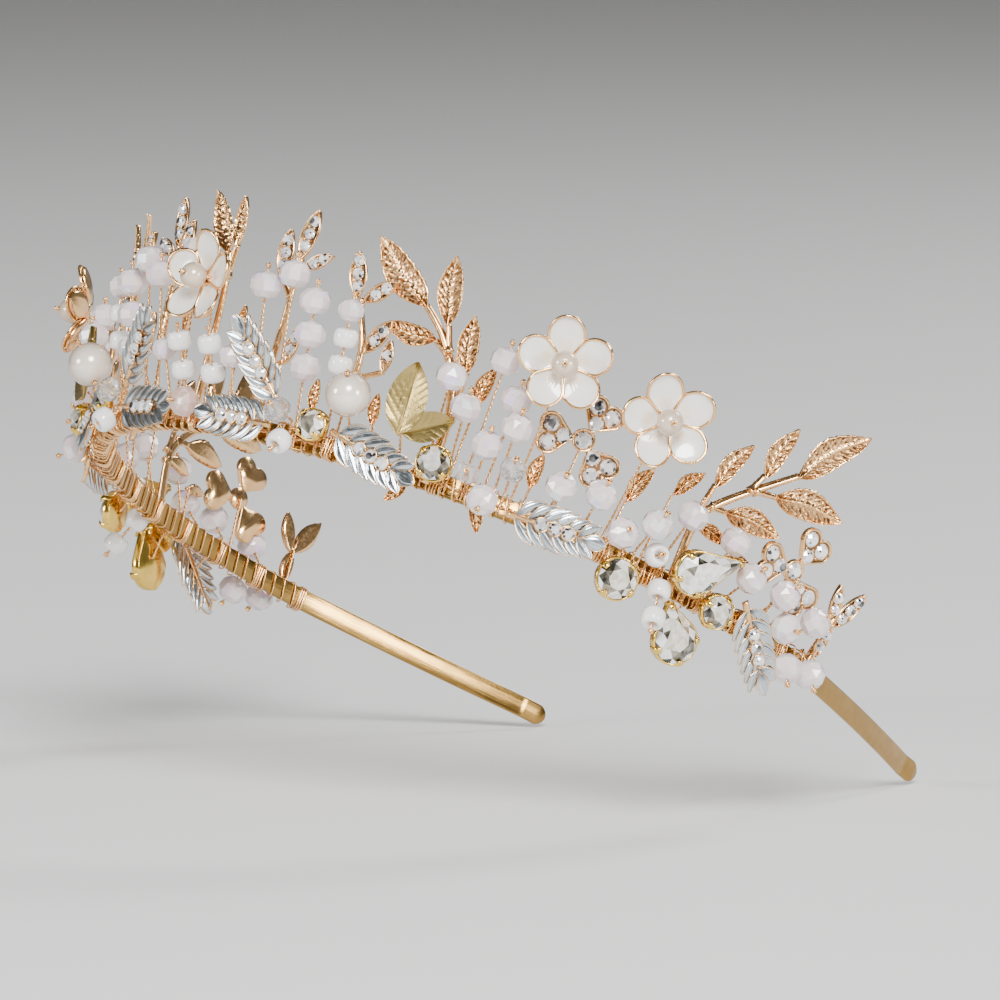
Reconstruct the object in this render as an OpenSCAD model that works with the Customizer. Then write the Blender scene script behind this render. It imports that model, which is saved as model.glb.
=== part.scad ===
// Bridal tiara: a springy flat band that carries a garland of cast leaves, enamel
// flowers, stone-set sprays, crystals, beads and pearls on fine wire stems.
//
// Millimetres, shown as worn: +Z is up, the wearer faces -Y. The origin is the middle
// of the band's arc, where the head sits. Every ornament is placed by its station along
// the band's outer face (0 at the front, positive towards +X), its height above the
// band's middle line, and its stand-off in front of the band.

/* [Band] */
// Inside radius of the band's arc
band_r = 76; // [66:1:92]
// Thickness of the band strip
band_t = 0.8; // [0.6:0.1:1.2]
// Width of the band strip, measured up and down
band_w = 4.1; // [3:0.1:6]
// Half of the arc, in degrees from the front
arc_half = 108; // [106:1:114]
// Length of each straighter arm behind the arc
arm_len = 46; // [30:1:60]
// Radius of the arms' slight curve
arm_r = 365; // [200:5:500]
// Length of the flared tip at each end
tip_len = 5.2; // [3:0.2:8]
// Outward flare of the tips, in degrees
tip_flare = 10; // [0:1:20]
// How far the front of the band is tilted up as worn
wear_tilt = 29; // [0:1:45]

/* [Wires] */
// Thickness of the wire that runs along the band's face
rail_d = 0.8; // [0.6:0.1:1.2]
// Thickness of the wire bound round the band
wrap_d = 0.36; // [0.3:0.02:0.5]
// Turns of binding wire at each station
wrap_turns = 3; // [1:1:5]
// Stations from one binding to the next
wrap_step = 8; // [6:1:12]
// Thickness of a twisted stem wire
stem_d = 0.56; // [0.4:0.02:0.7]
// Clearance of a bead's hole round its wire
bore_gap = 0.05; // [0.03:0.01:0.1]
// Size of the knot that holds a bead on its wire
knot_d = 1.1; // [0.9:0.1:1.5]

/* [Garland] */
// Length of band to one station
station_len = 1.34; // [1.34:0.01:1.5]
// How far the garland leans outwards from the band's plane
garland_lean = 11; // [0:1:20]

/* [Beads and pearls] */
// Size of the milky faceted beads
opal_d = 6; // [5:0.1:6.2]
// Size of the smaller milky beads near the centre
small_opal_d = 5; // [4.4:0.1:5.4]
// Size of the round white beads
seed_d = 4.6; // [4:0.1:4.7]
// Size of the clear cut beads
clear_d = 5; // [4:0.1:5.2]
// Size of the square cut bead
cube_d = 3.6; // [3:0.1:4]
// Size of the two large pearls
pearl_d = 8.4; // [7:0.1:9]
// Size of the pearl in the middle of each flower
flower_pearl_d = 5; // [3.6:0.1:5.4]
// Size of the pink bead at the centre front
centre_bead_d = 5.9; // [5:0.1:6.2]

/* [Leaves and flowers] */
// Thickness of the cast leaf branches
cast_t = 0.8; // [0.6:0.1:0.8]
// Width of a leaf as a share of its length
leaf_ratio = 0.42; // [0.3:0.01:0.5]
// Width of a branch's stalk
stalk_w = 1.1; // [0.8:0.1:1.4]
// Thickness of the sprays and trefoils that hold stones
spray_t = 0.8; // [0.6:0.1:1]
// Size of a stone set in a spray or a silver leaf
stone_d = 2.3; // [1.6:0.1:2.4]
// Size of a stone set in a trefoil
lobe_stone_d = 3.3; // [2:0.1:3.4]
// Height of a small set stone above its seat
stone_h = 0.9; // [0.6:0.1:1.2]
// Length of a silver leaf
silver_len = 18.6; // [15:0.2:20]
// Thickness of a silver leaf
silver_t = 0.8; // [0.6:0.1:1.2]
// Distance of a petal's middle from the middle of its flower
petal_reach = 4.9; // [4:0.1:5.5]
// Radius of a petal
petal_r = 3.9; // [3.2:0.1:4.2]
// Thickness of a flower's metal back
cup_t = 0.6; // [0.5:0.1:1]
// Thickness of the enamel on a petal
enamel_t = 0.5; // [0.3:0.1:0.8]

/* [Crystals] */
// Height of a crystal setting
setting_h = 2.6; // [2:0.1:3.2]
// Wall of a crystal setting
setting_wall = 0.5; // [0.4:0.05:0.8]
// Claws round a crystal
claws = 4; // [3:1:8]
// Length of the pear crystal that lies across the band
pear_a_len = 13.6; // [11:0.2:14]
// Width of the pear crystal that lies across the band
pear_a_w = 8; // [7:0.1:8.4]
// Length of the pear crystal that hangs below the band
pear_b_len = 11.6; // [10:0.2:12.5]
// Width of the pear crystal that hangs below the band
pear_b_w = 8.4; // [7:0.1:9]

/* [Hidden] */
$fn = 48;
SIDES = ["right", "left"];

// Metal and bead colours
rose_gold = "#c98a5e";
band_gold = "#b99a55";
claw_gold = "#d9b84a";
silver = "#bcc9cf";
antique_gold = "#a98f52";
opal = "#f1e9ea";
white = "#f8f4ef";
crystal = "#dfe6e8";
pearl = "#efe4d2";
pink = "#e8b7a4";

// The band's outer face, and the layer just in front of the rail wire where stems
// are bound down
band_out = band_r + band_t;
arm_angle = arm_len / arm_r * 180 / PI;
fit_gap = 0.03;
stem_layer_t = max(stem_d, cast_t);
stem_off = rail_d + fit_gap + stem_layer_t / 2;
foot_low = -band_w / 2 + 0.4;
foot_top = 3;
cast_off = rail_d + fit_gap;
spray_off = cast_off + stem_layer_t + wrap_d + 3 * fit_gap;
bore_d = stem_d + 2 * bore_gap;
// The last station that carries an ornament
garland_end = 104;
// A wire or a stalk is a little thicker where it bends
bend_swell = 1.16;

// Single beads and strings of beads: station, stand-off of the last bead, and the
// heights of the beads that share the stem, the last one at the stem's end
opal_strings = [
    [10.2, 6.5, [26]], [14, 6.5, [29]], [18, 6.5, [13, 19, 25]],
    [38, 6, [19]], [41, 6, [14.5]], [45, 5.5, [9.5]],
    [43.5, 5, [25]], [46.4, 4.5, [19]], [47.8, 6.4, [14.3]], [47, 6, [-0.2]],
    [55.5, 6, [7.5]], [60.5, 6, [9]],
    [65, 6, [4.5]], [68.5, 6.5, [8.5]], [72.3, 6, [13]],
    [83.5, 6, [8]], [79.5, 4.8, [12.5]],
    [89.3, 6, [8.5]], [92, 6, [3.5]], [96.4, 5.5, [7.5]],
    [95.6, 6, [-2.5]], [100, 6, [-1]]
];
small_opal_strings = [[6.8, 5, [12]], [23, 6, [25]]];
white_strings = [
    [18.5, 6, [-1.5]], [70.6, 4.5, [3.6]], [73, 8, [-2, -7]]
];
white_centre_strings = [[3.4, 6.5, [8.5, 13.5]], [-2.6, 6.5, [8.5, 13.5]]];
white_on_opal_strings = [[23, 6, 25, [15, 20]]];
clear_strings = [[17.4, 7, [4]], [49.2, 6.4, [7]]];
centre_strings = [[-4.5, 5, [31]]];
cube_place = [44, 3.4, 4.9];

// Large pearl and pink centre bead: station, height, stand-off
pearl_place = [26.5, 10, 7.5];
centre_bead_place = [0, 2.4, 5];

// Flowers: station, height, stand-off, turn of the first petal from upright
flower_centre = [1, 25, 7.5, 0];
flower_inner = [50.3, 28, 9.5, 18];
flower_outer = [63.5, 26, 9.5, 30];

// Round crystals: station, height, stand-off, diameter
round_places = [
    [22.1, 3, 4, 5.4], [39.5, 3, 4, 6.2], [67, -3.5, 4, 7.4], [80.8, -0.5, 6, 6]
];
// Pear crystals: station, height, stand-off, turn of the point from the tangent
pear_a_place = [77, 5.5, 6.6, 38];
pear_b_place = [77.5, -7.5, 3.6, 128];

// Silver leaves: station, height, stand-off, direction of the tip, outward tip
silver_places = [
    [12, 12, 6.2, 130, 18], [9.4, 1, 4, 180, 0], [31.2, 0.5, 4, -14, 0],
    [57, 0, 4, 5, 0], [88.6, -2.5, 6.4, -42, 0]
];

// Leaves of each branch: x, y of the leaf's base, its direction, its length
inner_branch_at = 31;
inner_leaves = [
    [0, 30, 142, 15.5], [5.2, 28, 100, 12.5], [3.8, 24.5, 178, 10], [11.5, 20.5, 98, 10.5]
];
inner_stalk = [[10.4, -1], [11.5, 9], [10, 18], [5, 26], [0, 30]];
inner_twigs = [[[7, 23], [5.2, 28]], [[7.5, 22], [3.8, 24.5]], [[11.3, 11], [11.5, 20.5]]];

outer_branch_at = 82;
outer_leaves = [
    [4, 29, 55, 15.5], [-2.5, 26, 84, 10.5], [1.5, 23.5, 8, 14.5],
    [-11, 20, 75, 10], [-6.4, 16.5, 4, 12], [-10.5, 12, -6, 7]
];
outer_stalk = [[-9.5, -1], [-11, 8], [-11.6, 14], [-6, 20], [4, 29]];
outer_twigs = [
    [[-4, 22], [-2.5, 26]], [[-3, 22.5], [1.5, 23.5]], [[-11.6, 13], [-11, 20]],
    [[-10, 16], [-6.4, 16.5]], [[-11.3, 11], [-10.5, 12]]
];

centre_sprig_at = -1;
centre_leaves = [[-1, 32, 118, 12.5], [1, 33.5, 88, 9]];
centre_stalk = [[0, -1], [0.5, 16], [0.2, 28], [-1, 32]];
centre_twigs = [[[0.3, 27], [1, 33.5]]];

antique_at = 34;
antique_off = 5.6;
antique_leaves = [[0, 6, 92, 13.5], [1, 6.4, 30, 10]];

// Loose leaves on short stalks: station, height, stand-off, direction, length
sprig_leaves = [
    [52, 5, 2.4, 90, 7], [41.5, 15.5, 1.7, 80, 8], [64.2, 10, 2.4, 75, 8],
    [69.5, 15, 2.4, 60, 7], [45.7, -1, 2.6, -60, 6], [80, 9, 1.7, 10, 6],
    [5.5, 16, 2.6, 84, 6], [20.4, 5.5, 2.2, 92, 6], [29.5, 6, 2.4, 95, 6], [36.5, -1, 2.6, -115, 6]
];

// Stone-set leaves of the sprays: x, y of the base, direction, length
spray_a_at = 12;
spray_a_leaves = [
    [-3, 28.5, 94, 9], [0.4, 32.5, 82, 9.5], [2, 31, 28, 6.5], [3.6, 13.5, 82, 6.5]
];
spray_a_stalk = [[0, 12], [0.3, 22], [0, 29], [0.4, 32.5]];
spray_a_twigs = [[[0, 25], [-3, 28.5]], [[0, 28], [2, 31]], [[0, 12], [3.6, 13.5]]];
spray_b_at = 24.5;
spray_b_leaves = [
    [-3.6, 28, 106, 8.5], [-2, 27.5, 42, 7.5], [1.2, 18.5, 62, 8], [6, 16, 92, 6]
];
spray_b_stalk = [[0.6, 14], [0.4, 20], [-2.2, 25], [-2.8, 28]];
spray_b_twigs = [[[2, 14], [6, 16]], [[0.6, 14], [2, 14]]];
end_spray_at = 101.5;
end_spray_leaves = [[-0.6, 9.5, 112, 7.5], [0.6, 9.5, 66, 9], [0, 2.5, 90, 7]];
end_spray_stalk = [[0, 0.5], [0, 10]];

// Width of a stone-set leaf as a share of its length
spray_leaf_ratio = 0.42;

// Pairs of lobes along a silver leaf
lobes = 6;
// Where a flower's pearl sits in front of its cup's back
pearl_seat = cup_t + enamel_t + 0.1;

// Trefoils: station, height; lobes at these directions
inner_trefoil_place = [56, 17];
outer_trefoil_place = [90.5, 13.6];
trefoil_turns = [190, 75, -40];
trefoil_reach = 5.8;
// Half the distance between a lobe's two outer stones, and the round of its shoulders
lobe_seat = lobe_stone_d / 2 + 0.1;
heart_r = lobe_stone_d / 2 + 0.5;

// ---------------------------------------------------------------- placing

module worn() {
    rotate([-wear_tilt, 0, 0])
        children();
}

// The angle round the arc of a station
function bearing(station) = station * station_len / band_out * 180 / PI;

module on_band(station, height = 0, off = 0) {
    rotate([0, 0, bearing(station)])
        translate([0, -band_out, 0])
            rotate([garland_lean, 0, 0])
                translate([0, -off, height])
                    children();
}

// Draws once on the right, or the mirror image on the left
module on_side(side) {
    if (side == "right")
        children();
    else
        mirror([1, 0, 0])
            children();
}

// A flat plate from a drawing in the tangent plane, its back at the stand-off
module plate(thick) {
    rotate([90, 0, 0])
        linear_extrude(height = thick)
            children();
}

// A rod between two points
module rod(a, b, d) {
    v = b - a;
    l = norm(v);
    turn = atan2(v[1], v[0]);
    drop = acos(v[2] / l);
    translate(a)
        rotate([0, drop, turn])
            cylinder(h = l, d = d, $fn = 16);
}

// ---------------------------------------------------------------- band and wires

module strip(radius, sweep) {
    rotate_extrude(angle = sweep, $fn = 360)
        translate([radius, -band_w / 2])
            square([band_t, band_w]);
}

module arm() {
    rotate([0, 0, arc_half])
        translate([0, arm_r - band_r, 0]) {
            rotate([0, 0, -90])
                strip(arm_r, arm_angle, $fn = 720);
            rotate([0, 0, arm_angle])
                translate([0, -arm_r, 0])
                    rotate([0, 0, -tip_flare])
                        translate([0, -band_t, -band_w / 2])
                            cube([tip_len, band_t, band_w]);
        }
}

module band() {
    color(band_gold)
        worn() {
            rotate([0, 0, -90 - arc_half])
                strip(band_r, 2 * arc_half);
            arm();
            mirror([1, 0, 0])
                arm();
        }
}

module rail_wire() {
    sweep = 2 * bearing(garland_end + 1);
    color(rose_gold)
        worn()
            rotate([0, 0, -90 - sweep / 2])
                rotate_extrude(angle = sweep, $fn = 180)
                    translate([band_out + fit_gap + rail_d / 2, 0])
                        circle(d = rail_d, $fn = 24);
}

// One turn of wire round the band, the rail wire and the stems' feet
module wrap_turn() {
    deep = band_t + rail_d + stem_layer_t + 4 * fit_gap;
    high = band_w + 2 * fit_gap;
    rotate([90, 0, 90])
        linear_extrude(height = wrap_d, center = true)
            difference() {
                translate([-deep - wrap_d + band_t + fit_gap, -high / 2 - wrap_d])
                    square([deep + 2 * wrap_d, high + 2 * wrap_d]);
                translate([-deep + band_t + fit_gap, -high / 2])
                    square([deep, high]);
            }
}

module binding_wire() {
    last = floor((garland_end + 1) / wrap_step) * wrap_step;
    color(rose_gold)
        worn()
            for (station = [-last : wrap_step : last])
                for (turn = [0 : wrap_turns - 1])
                    rotate([0, 0, bearing(station + (turn - (wrap_turns - 1) / 2) * 0.4)])
                        translate([0, -band_out, 0])
                            wrap_turn();
}

// ---------------------------------------------------------------- stems

// Point on a stem at a height, for a stem that passes through (top, off)
function along(top, off, h) = stem_off + (off - stem_off) * (h - foot_top) / (top - foot_top);

// A foot bound to the band, and a straight wire to (height, off)
module stem(height, off, d = stem_d) {
    rod([0, -stem_off, foot_low], [0, -stem_off, foot_top], d);
    translate([0, -stem_off, foot_top])
        sphere(d = d * bend_swell, $fn = 16);
    rod([0, -stem_off, foot_top], [0, -off, height], d);
}

// The stem carried on past the last bead, with its knot
module knotted_stem(height, off, bead) {
    v = [0, stem_off - off, height - foot_top];
    u = v / norm(v);
    over = bead / 2 + bore_gap + knot_d / 2;
    end = [0, -off, height] + u * over;
    rod([0, -stem_off, foot_low], [0, -stem_off, foot_top], stem_d);
    translate([0, -stem_off, foot_top])
        sphere(d = stem_d * bend_swell, $fn = 16);
    rod([0, -stem_off, foot_top], end, stem_d);
    translate(end)
        sphere(d = knot_d, $fn = 20);
}

// A bead drilled along its stem
module bead(height, off, d, top, top_off) {
    v = [0, stem_off - top_off, top - foot_top];
    u = v / norm(v);
    centre = [0, -off, height];
    difference() {
        translate(centre)
            sphere(d = d);
        rod(centre - u * d, centre + u * d, bore_d);
    }
}

module bead_string(string, d) {
    top = string[2][len(string[2]) - 1];
    on_band(string[0])
        for (h = string[2])
            bead(h, along(top, string[1], h), d, top, string[1]);
}

module string_stem(string, d) {
    on_band(string[0])
        knotted_stem(string[2][len(string[2]) - 1], string[1], d);
}

module opal_beads(side) {
    color(opal)
        worn()
            on_side(side) {
                for (string = opal_strings)
                    bead_string(string, opal_d);
                for (string = small_opal_strings)
                    bead_string(string, small_opal_d);
            }
}

module opal_beads_centre() {
    color(opal)
        worn()
            for (string = centre_strings)
                bead_string(string, opal_d);
}

module white_beads(side) {
    color(white)
        worn()
            on_side(side) {
                for (string = white_strings)
                    bead_string(string, seed_d);
                for (string = white_on_opal_strings)
                    on_band(string[0])
                        for (h = string[3])
                            bead(h, along(string[2], string[1], h), seed_d, string[2], string[1]);
            }
}

module white_beads_centre() {
    color(white)
        worn()
            for (string = white_centre_strings)
                bead_string(string, seed_d);
}

module clear_beads(side) {
    color(crystal)
        worn()
            on_side(side) {
                for (string = clear_strings)
                    bead_string(string, clear_d);
                on_band(cube_place[0])
                    cube_bead();
            }
}

module cube_bead() {
    v = [0, stem_off - cube_place[2], cube_place[1] - foot_top];
    u = v / norm(v);
    centre = [0, -cube_place[2], cube_place[1]];
    difference() {
        translate(centre)
            cube(cube_d, center = true);
        rod(centre - u * cube_d, centre + u * cube_d, bore_d);
    }
}

module side_stems() {
    for (string = opal_strings)
        string_stem(string, opal_d);
    for (string = small_opal_strings)
        string_stem(string, small_opal_d);
    for (string = white_strings)
        string_stem(string, seed_d);
    for (string = clear_strings)
        string_stem(string, clear_d);
    on_band(cube_place[0])
        knotted_stem(cube_place[1], cube_place[2], cube_d * 1.4);
}

module bead_stems() {
    color(rose_gold)
        worn() {
            for (side = SIDES)
                on_side(side)
                    side_stems();
            for (string = centre_strings)
                string_stem(string, opal_d);
            for (string = white_centre_strings)
                string_stem(string, seed_d);
        }
}

// ---------------------------------------------------------------- leaves

// A pointed leaf lying along +X from its base
module leaf_outline(l, w) {
    r = (l * l + w * w) / (4 * w);
    translate([l / 2, 0])
        intersection() {
            translate([0, r - w / 2])
                circle(r = r, $fn = 180);
            translate([0, w / 2 - r])
                circle(r = r, $fn = 180);
        }
}

// A flat stalk through a list of points
module stalk(points, w) {
    for (i = [0 : len(points) - 2]) {
        v = points[i + 1] - points[i];
        translate(points[i])
            rotate(atan2(v[1], v[0]))
                translate([0, -w / 2])
                    square([norm(v), w]);
    }
    for (i = [0 : len(points) - 1])
        translate(points[i])
            circle(d = w * bend_swell, $fn = 20);
}

module leaf_drawing(leaves, ratio) {
    for (leaf = leaves)
        translate([leaf[0], leaf[1]])
            rotate(leaf[2])
                translate([-0.4, 0])
                    leaf_outline(leaf[3] + 0.4, leaf[3] * ratio);
}

module branch(leaves, spine, twigs) {
    plate(cast_t) {
        stalk(spine, stalk_w);
        for (twig = twigs)
            stalk(twig, stalk_w * 0.7);
        leaf_drawing(leaves, leaf_ratio);
    }
}

module inner_branch(side) {
    color(rose_gold)
        worn()
            on_side(side)
                on_band(inner_branch_at, 0, cast_off)
                    branch(inner_leaves, inner_stalk, inner_twigs);
}

module outer_branch(side) {
    color(rose_gold)
        worn()
            on_side(side)
                on_band(outer_branch_at, 0, cast_off)
                    branch(outer_leaves, outer_stalk, outer_twigs);
}

module centre_sprig() {
    color(rose_gold)
        worn()
            on_band(centre_sprig_at, 0, cast_off)
                branch(centre_leaves, centre_stalk, centre_twigs);
}

module antique_leaves(side) {
    color(antique_gold)
        worn()
            on_side(side)
                on_band(antique_at, 0, antique_off)
                    plate(cast_t)
                        leaf_drawing(antique_leaves, 0.58);
}

module leaf_sprigs(side) {
    color(rose_gold)
        worn()
            on_side(side)
                for (leaf = sprig_leaves)
                    on_band(leaf[0], leaf[1], leaf[2])
                        plate(cast_t * 0.75)
                            rotate(leaf[3])
                                leaf_outline(leaf[4], leaf[4] * leaf_ratio);
}

// ---------------------------------------------------------------- stone-set sprays

module spray(leaves, spine, twigs) {
    plate(spray_t) {
        stalk(spine, stalk_w);
        for (twig = twigs)
            stalk(twig, stalk_w * 0.8);
        leaf_drawing(leaves, spray_leaf_ratio);
    }
}

module stone(d = stone_d) {
    rotate([90, 0, 0])
        cylinder(h = stone_h, d1 = d, d2 = d * 0.6, $fn = 24);
}

// Stones along each leaf, as many as fit
module leaf_stones(leaves) {
    pitch = stone_d + 0.1;
    for (leaf = leaves) {
        count = floor((leaf[3] - 1.2) / pitch);
        for (i = [0 : count - 1]) {
            reach = leaf[3] / 2 + (i - (count - 1) / 2) * pitch;
            translate([leaf[0] + reach * cos(leaf[2]), 0, leaf[1] + reach * sin(leaf[2])])
                stone();
        }
    }
}

module stone_sprays(side) {
    color(rose_gold)
        worn()
            on_side(side) {
                on_band(spray_a_at, 0, spray_off)
                    spray(spray_a_leaves, spray_a_stalk, spray_a_twigs);
                on_band(spray_b_at, 0, spray_off)
                    spray(spray_b_leaves, spray_b_stalk, spray_b_twigs);
                on_band(end_spray_at, 0, spray_off)
                    spray(end_spray_leaves, end_spray_stalk, []);
            }
}

// A heart-shaped lobe that points at the trefoil's middle
module heart() {
    shoulder = lobe_seat + 0.45 * heart_r;
    for (s = [-1, 1])
        translate([0.35 * lobe_seat, s * lobe_seat])
            circle(r = heart_r, $fn = 40);
    polygon([
        [-1.1 * lobe_seat - heart_r, 0], [0, -shoulder], [0.8 * heart_r, -shoulder / 2],
        [0.8 * heart_r, shoulder / 2], [0, shoulder]
    ]);
}

module trefoil_drawing() {
    for (turn = trefoil_turns)
        rotate(turn)
            translate([trefoil_reach, 0])
                heart();
    circle(d = lobe_stone_d + 0.9, $fn = 40);
    for (turn = trefoil_turns)
        rotate(turn)
            translate([0, -stalk_w / 2])
                square([trefoil_reach - 1.1 * lobe_seat - 0.5 * heart_r, stalk_w]);
}

module trefoil(side, place) {
    color(rose_gold)
        worn()
            on_side(side)
                on_band(place[0], place[1], spray_off)
                    plate(spray_t)
                        trefoil_drawing();
}

module trefoil_stones() {
    stone(lobe_stone_d);
    for (turn = trefoil_turns)
        rotate([0, -turn, 0]) {
            for (s = [-1, 1])
                translate([trefoil_reach + 0.35 * lobe_seat, 0, s * lobe_seat])
                    stone(lobe_stone_d);
            translate([trefoil_reach - 1.25 * lobe_seat, 0, 0])
                stone(lobe_stone_d);
        }
}

module set_stones(side) {
    color(crystal)
        worn()
            on_side(side) {
                on_band(spray_a_at, 0, spray_off + spray_t)
                    leaf_stones(spray_a_leaves);
                on_band(spray_b_at, 0, spray_off + spray_t)
                    leaf_stones(spray_b_leaves);
                on_band(end_spray_at, 0, spray_off + spray_t)
                    leaf_stones(end_spray_leaves);
                for (place = [inner_trefoil_place, outer_trefoil_place])
                    on_band(place[0], place[1], spray_off + spray_t)
                        trefoil_stones();
            }
}

// ---------------------------------------------------------------- silver leaves

// A lobed leaf along +X, its middle at the origin
module silver_outline() {
    pitch = silver_len * 0.78 / lobes;
    translate([-silver_len / 2, -0.7])
        square([silver_len * 0.86, 1.4]);
    translate([silver_len * 0.28, 0])
        leaf_outline(silver_len * 0.22, 3);
    for (i = [0 : lobes - 1])
        for (s = [-1, 1])
            translate([-silver_len * 0.42 + i * pitch, 0])
                rotate(s * 48)
                    leaf_outline(6.2 - 0.5 * max(0, i - 2), 2.6);
}

module silver_at(place) {
    on_band(place[0], place[1], place[2])
        rotate([place[4], 0, 0])
            rotate([0, -place[3], 0])
                children();
}

module silver_leaves(side) {
    color(silver)
        worn()
            on_side(side)
                for (place = silver_places)
                    silver_at(place)
                        plate(silver_t)
                            silver_outline();
}

module silver_leaf_stones(side) {
    color(crystal)
        worn()
            on_side(side)
                for (place = silver_places)
                    silver_at(place)
                        for (i = [-1, 0, 1])
                            translate([i * (stone_d + 0.3), -silver_t, 0])
                                stone();
}

// ---------------------------------------------------------------- flowers

module petal_ring(r, turn) {
    for (i = [0 : 4])
        rotate(90 + turn + 72 * i)
            translate([petal_reach, 0])
                circle(r = r);
}

module flower_cup(place) {
    color(rose_gold)
        worn()
            on_band(place[0], place[1], place[2])
                plate(cup_t)
                    difference() {
                        union() {
                            petal_ring(petal_r, place[3]);
                            circle(r = petal_reach * 0.6);
                        }
                        circle(d = bore_d);
                    }
}

module petals(place) {
    color(white)
        worn()
            on_band(place[0], place[1], place[2] + cup_t)
                plate(enamel_t)
                    difference() {
                        petal_ring(petal_r - 0.35, place[3]);
                        circle(d = flower_pearl_d * 0.5);
                    }
}

function flower_places() = [
    flower_centre, flower_inner, flower_outer,
    [-flower_inner[0], flower_inner[1], flower_inner[2]],
    [-flower_outer[0], flower_outer[1], flower_outer[2]]
];

module flower_pearls() {
    color(pearl)
        worn()
            for (place = flower_places())
                on_band(place[0], place[1], place[2] + pearl_seat + flower_pearl_d / 2)
                    difference() {
                        sphere(d = flower_pearl_d);
                        rotate([90, 0, 0])
                            cylinder(h = flower_pearl_d + 1, d = bore_d, center = true);
                    }
}

// A pin behind each flower, through its cup and pearl, with a knot in front
module flower_pins() {
    reach = pearl_seat + flower_pearl_d + knot_d / 2;
    color(rose_gold)
        worn()
            for (place = flower_places()) {
                on_band(place[0], 0, 0)
                    rod([0, -place[2] + 1.2, place[1]], [0, -place[2] - reach, place[1]], stem_d);
                on_band(place[0], place[1], place[2] + reach)
                    sphere(d = knot_d, $fn = 20);
                on_band(place[0])
                    stem(place[1], place[2] - 1.2);
                on_band(place[0], place[1], place[2] - 1.2)
                    sphere(d = stem_d * bend_swell, $fn = 16);
            }
}

// ---------------------------------------------------------------- crystals

// A round claw setting for a crystal of diameter d, its back at the stand-off
module round_setting(d) {
    rotate([90, 0, 0])
        difference() {
            union() {
                cylinder(h = setting_h * 0.6, d = d + 2 * setting_wall);
                for (i = [0 : claws - 1])
                    rotate(360 / claws * i)
                        translate([d / 2 + fit_gap, -0.35, 0])
                            cube([0.5, 0.7, setting_h]);
            }
            translate([0, 0, 0.4])
                cylinder(h = setting_h, d = d + 2 * fit_gap);
        }
}

// A cut crystal that stands in its setting
module round_crystal(d) {
    rotate([90, 0, 0])
        translate([0, 0, 0.4 + fit_gap])
            rotate_extrude()
                polygon([[0, 0], [d * 0.12, 0], [d / 2, setting_h * 0.55],
                         [d / 2, setting_h * 0.65], [d * 0.3, setting_h], [0, setting_h]]);
}

module pear_outline(l, w) {
    r = w / 2;
    reach = l - r;
    turn = acos(r / reach);
    shoulder = 0.96;
    translate([r - l / 2, 0]) {
        circle(r = r);
        polygon([
            [r * shoulder * cos(turn), r * shoulder * sin(turn)], [0, 0],
            [r * shoulder * cos(turn), -r * shoulder * sin(turn)], [reach, 0]
        ]);
    }
}

module pear_at(place) {
    on_band(place[0], place[1], place[2])
        rotate([0, -place[3], 0])
            children();
}

module pear_setting(l, w) {
    plate(0.5)
        pear_outline(l + 2 * setting_wall, w + 2 * setting_wall);
    translate([0, -0.5, 0])
        plate(setting_h * 0.5)
            difference() {
                pear_outline(l + 2 * setting_wall, w + 2 * setting_wall);
                pear_outline(l + 2 * fit_gap, w + 2 * fit_gap);
            }
}

module pear_crystal(l, w) {
    translate([0, -0.5 - fit_gap, 0])
        plate(setting_h * 0.6)
            pear_outline(l, w);
    translate([0, -0.5 - fit_gap - setting_h * 0.6, 0])
        plate(setting_h * 0.4)
            pear_outline(l * 0.7, w * 0.7);
}

module round_settings(side) {
    color(claw_gold)
        worn()
            on_side(side)
                for (place = round_places)
                    on_band(place[0], place[1], place[2])
                        round_setting(place[3]);
}

module round_crystals(side) {
    color(crystal)
        worn()
            on_side(side)
                for (place = round_places)
                    on_band(place[0], place[1], place[2])
                        round_crystal(place[3]);
}

module pear_settings(side) {
    color(claw_gold)
        worn()
            on_side(side) {
                pear_at(pear_a_place)
                    pear_setting(pear_a_len, pear_a_w);
                pear_at(pear_b_place)
                    pear_setting(pear_b_len, pear_b_w);
            }
}

module pear_crystals(side) {
    color(crystal)
        worn()
            on_side(side) {
                pear_at(pear_a_place)
                    pear_crystal(pear_a_len, pear_a_w);
                pear_at(pear_b_place)
                    pear_crystal(pear_b_len, pear_b_w);
            }
}

// A stem that ends behind an ornament at this station, height and stand-off
module back_stem(station, height, off) {
    on_band(station)
        stem(height, off - stem_d / 2 - fit_gap);
}

// Stems that carry the crystals, silver leaves, sprays, trefoils and loose leaves
module ornament_side_stems() {
    for (place = round_places)
        on_band(place[0])
            stem(max(min(place[1], 2), place[1] - 1), place[2] - stem_d / 2 - fit_gap);
    for (place = silver_places)
        back_stem(place[0], place[1], place[2]);
    for (place = [pear_a_place, pear_b_place])
        back_stem(place[0], place[1], place[2]);
    for (place = [inner_trefoil_place, outer_trefoil_place])
        back_stem(place[0], place[1], spray_off);
    back_stem(spray_a_at, spray_a_stalk[1][1], spray_off);
    back_stem(spray_b_at, spray_b_stalk[1][1], spray_off);
    back_stem(end_spray_at, end_spray_stalk[1][1], spray_off);
    back_stem(antique_at, antique_leaves[0][1] + 1, antique_off);
    for (leaf = sprig_leaves)
        back_stem(leaf[0], leaf[1], leaf[2]);
}

module ornament_stems() {
    color(rose_gold)
        worn()
            for (side = SIDES)
                on_side(side)
                    ornament_side_stems();
}

// ---------------------------------------------------------------- pearls that turn

module large_pearl(side) {
    color(pearl)
        worn()
            on_side(side)
                on_band(pearl_place[0])
                    bead(pearl_place[1], pearl_place[2], pearl_d, pearl_place[1], pearl_place[2]);
}

module large_pearl_wire(side) {
    color(rose_gold)
        worn()
            on_side(side)
                on_band(pearl_place[0])
                    knotted_stem(pearl_place[1], pearl_place[2], pearl_d);
}

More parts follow.
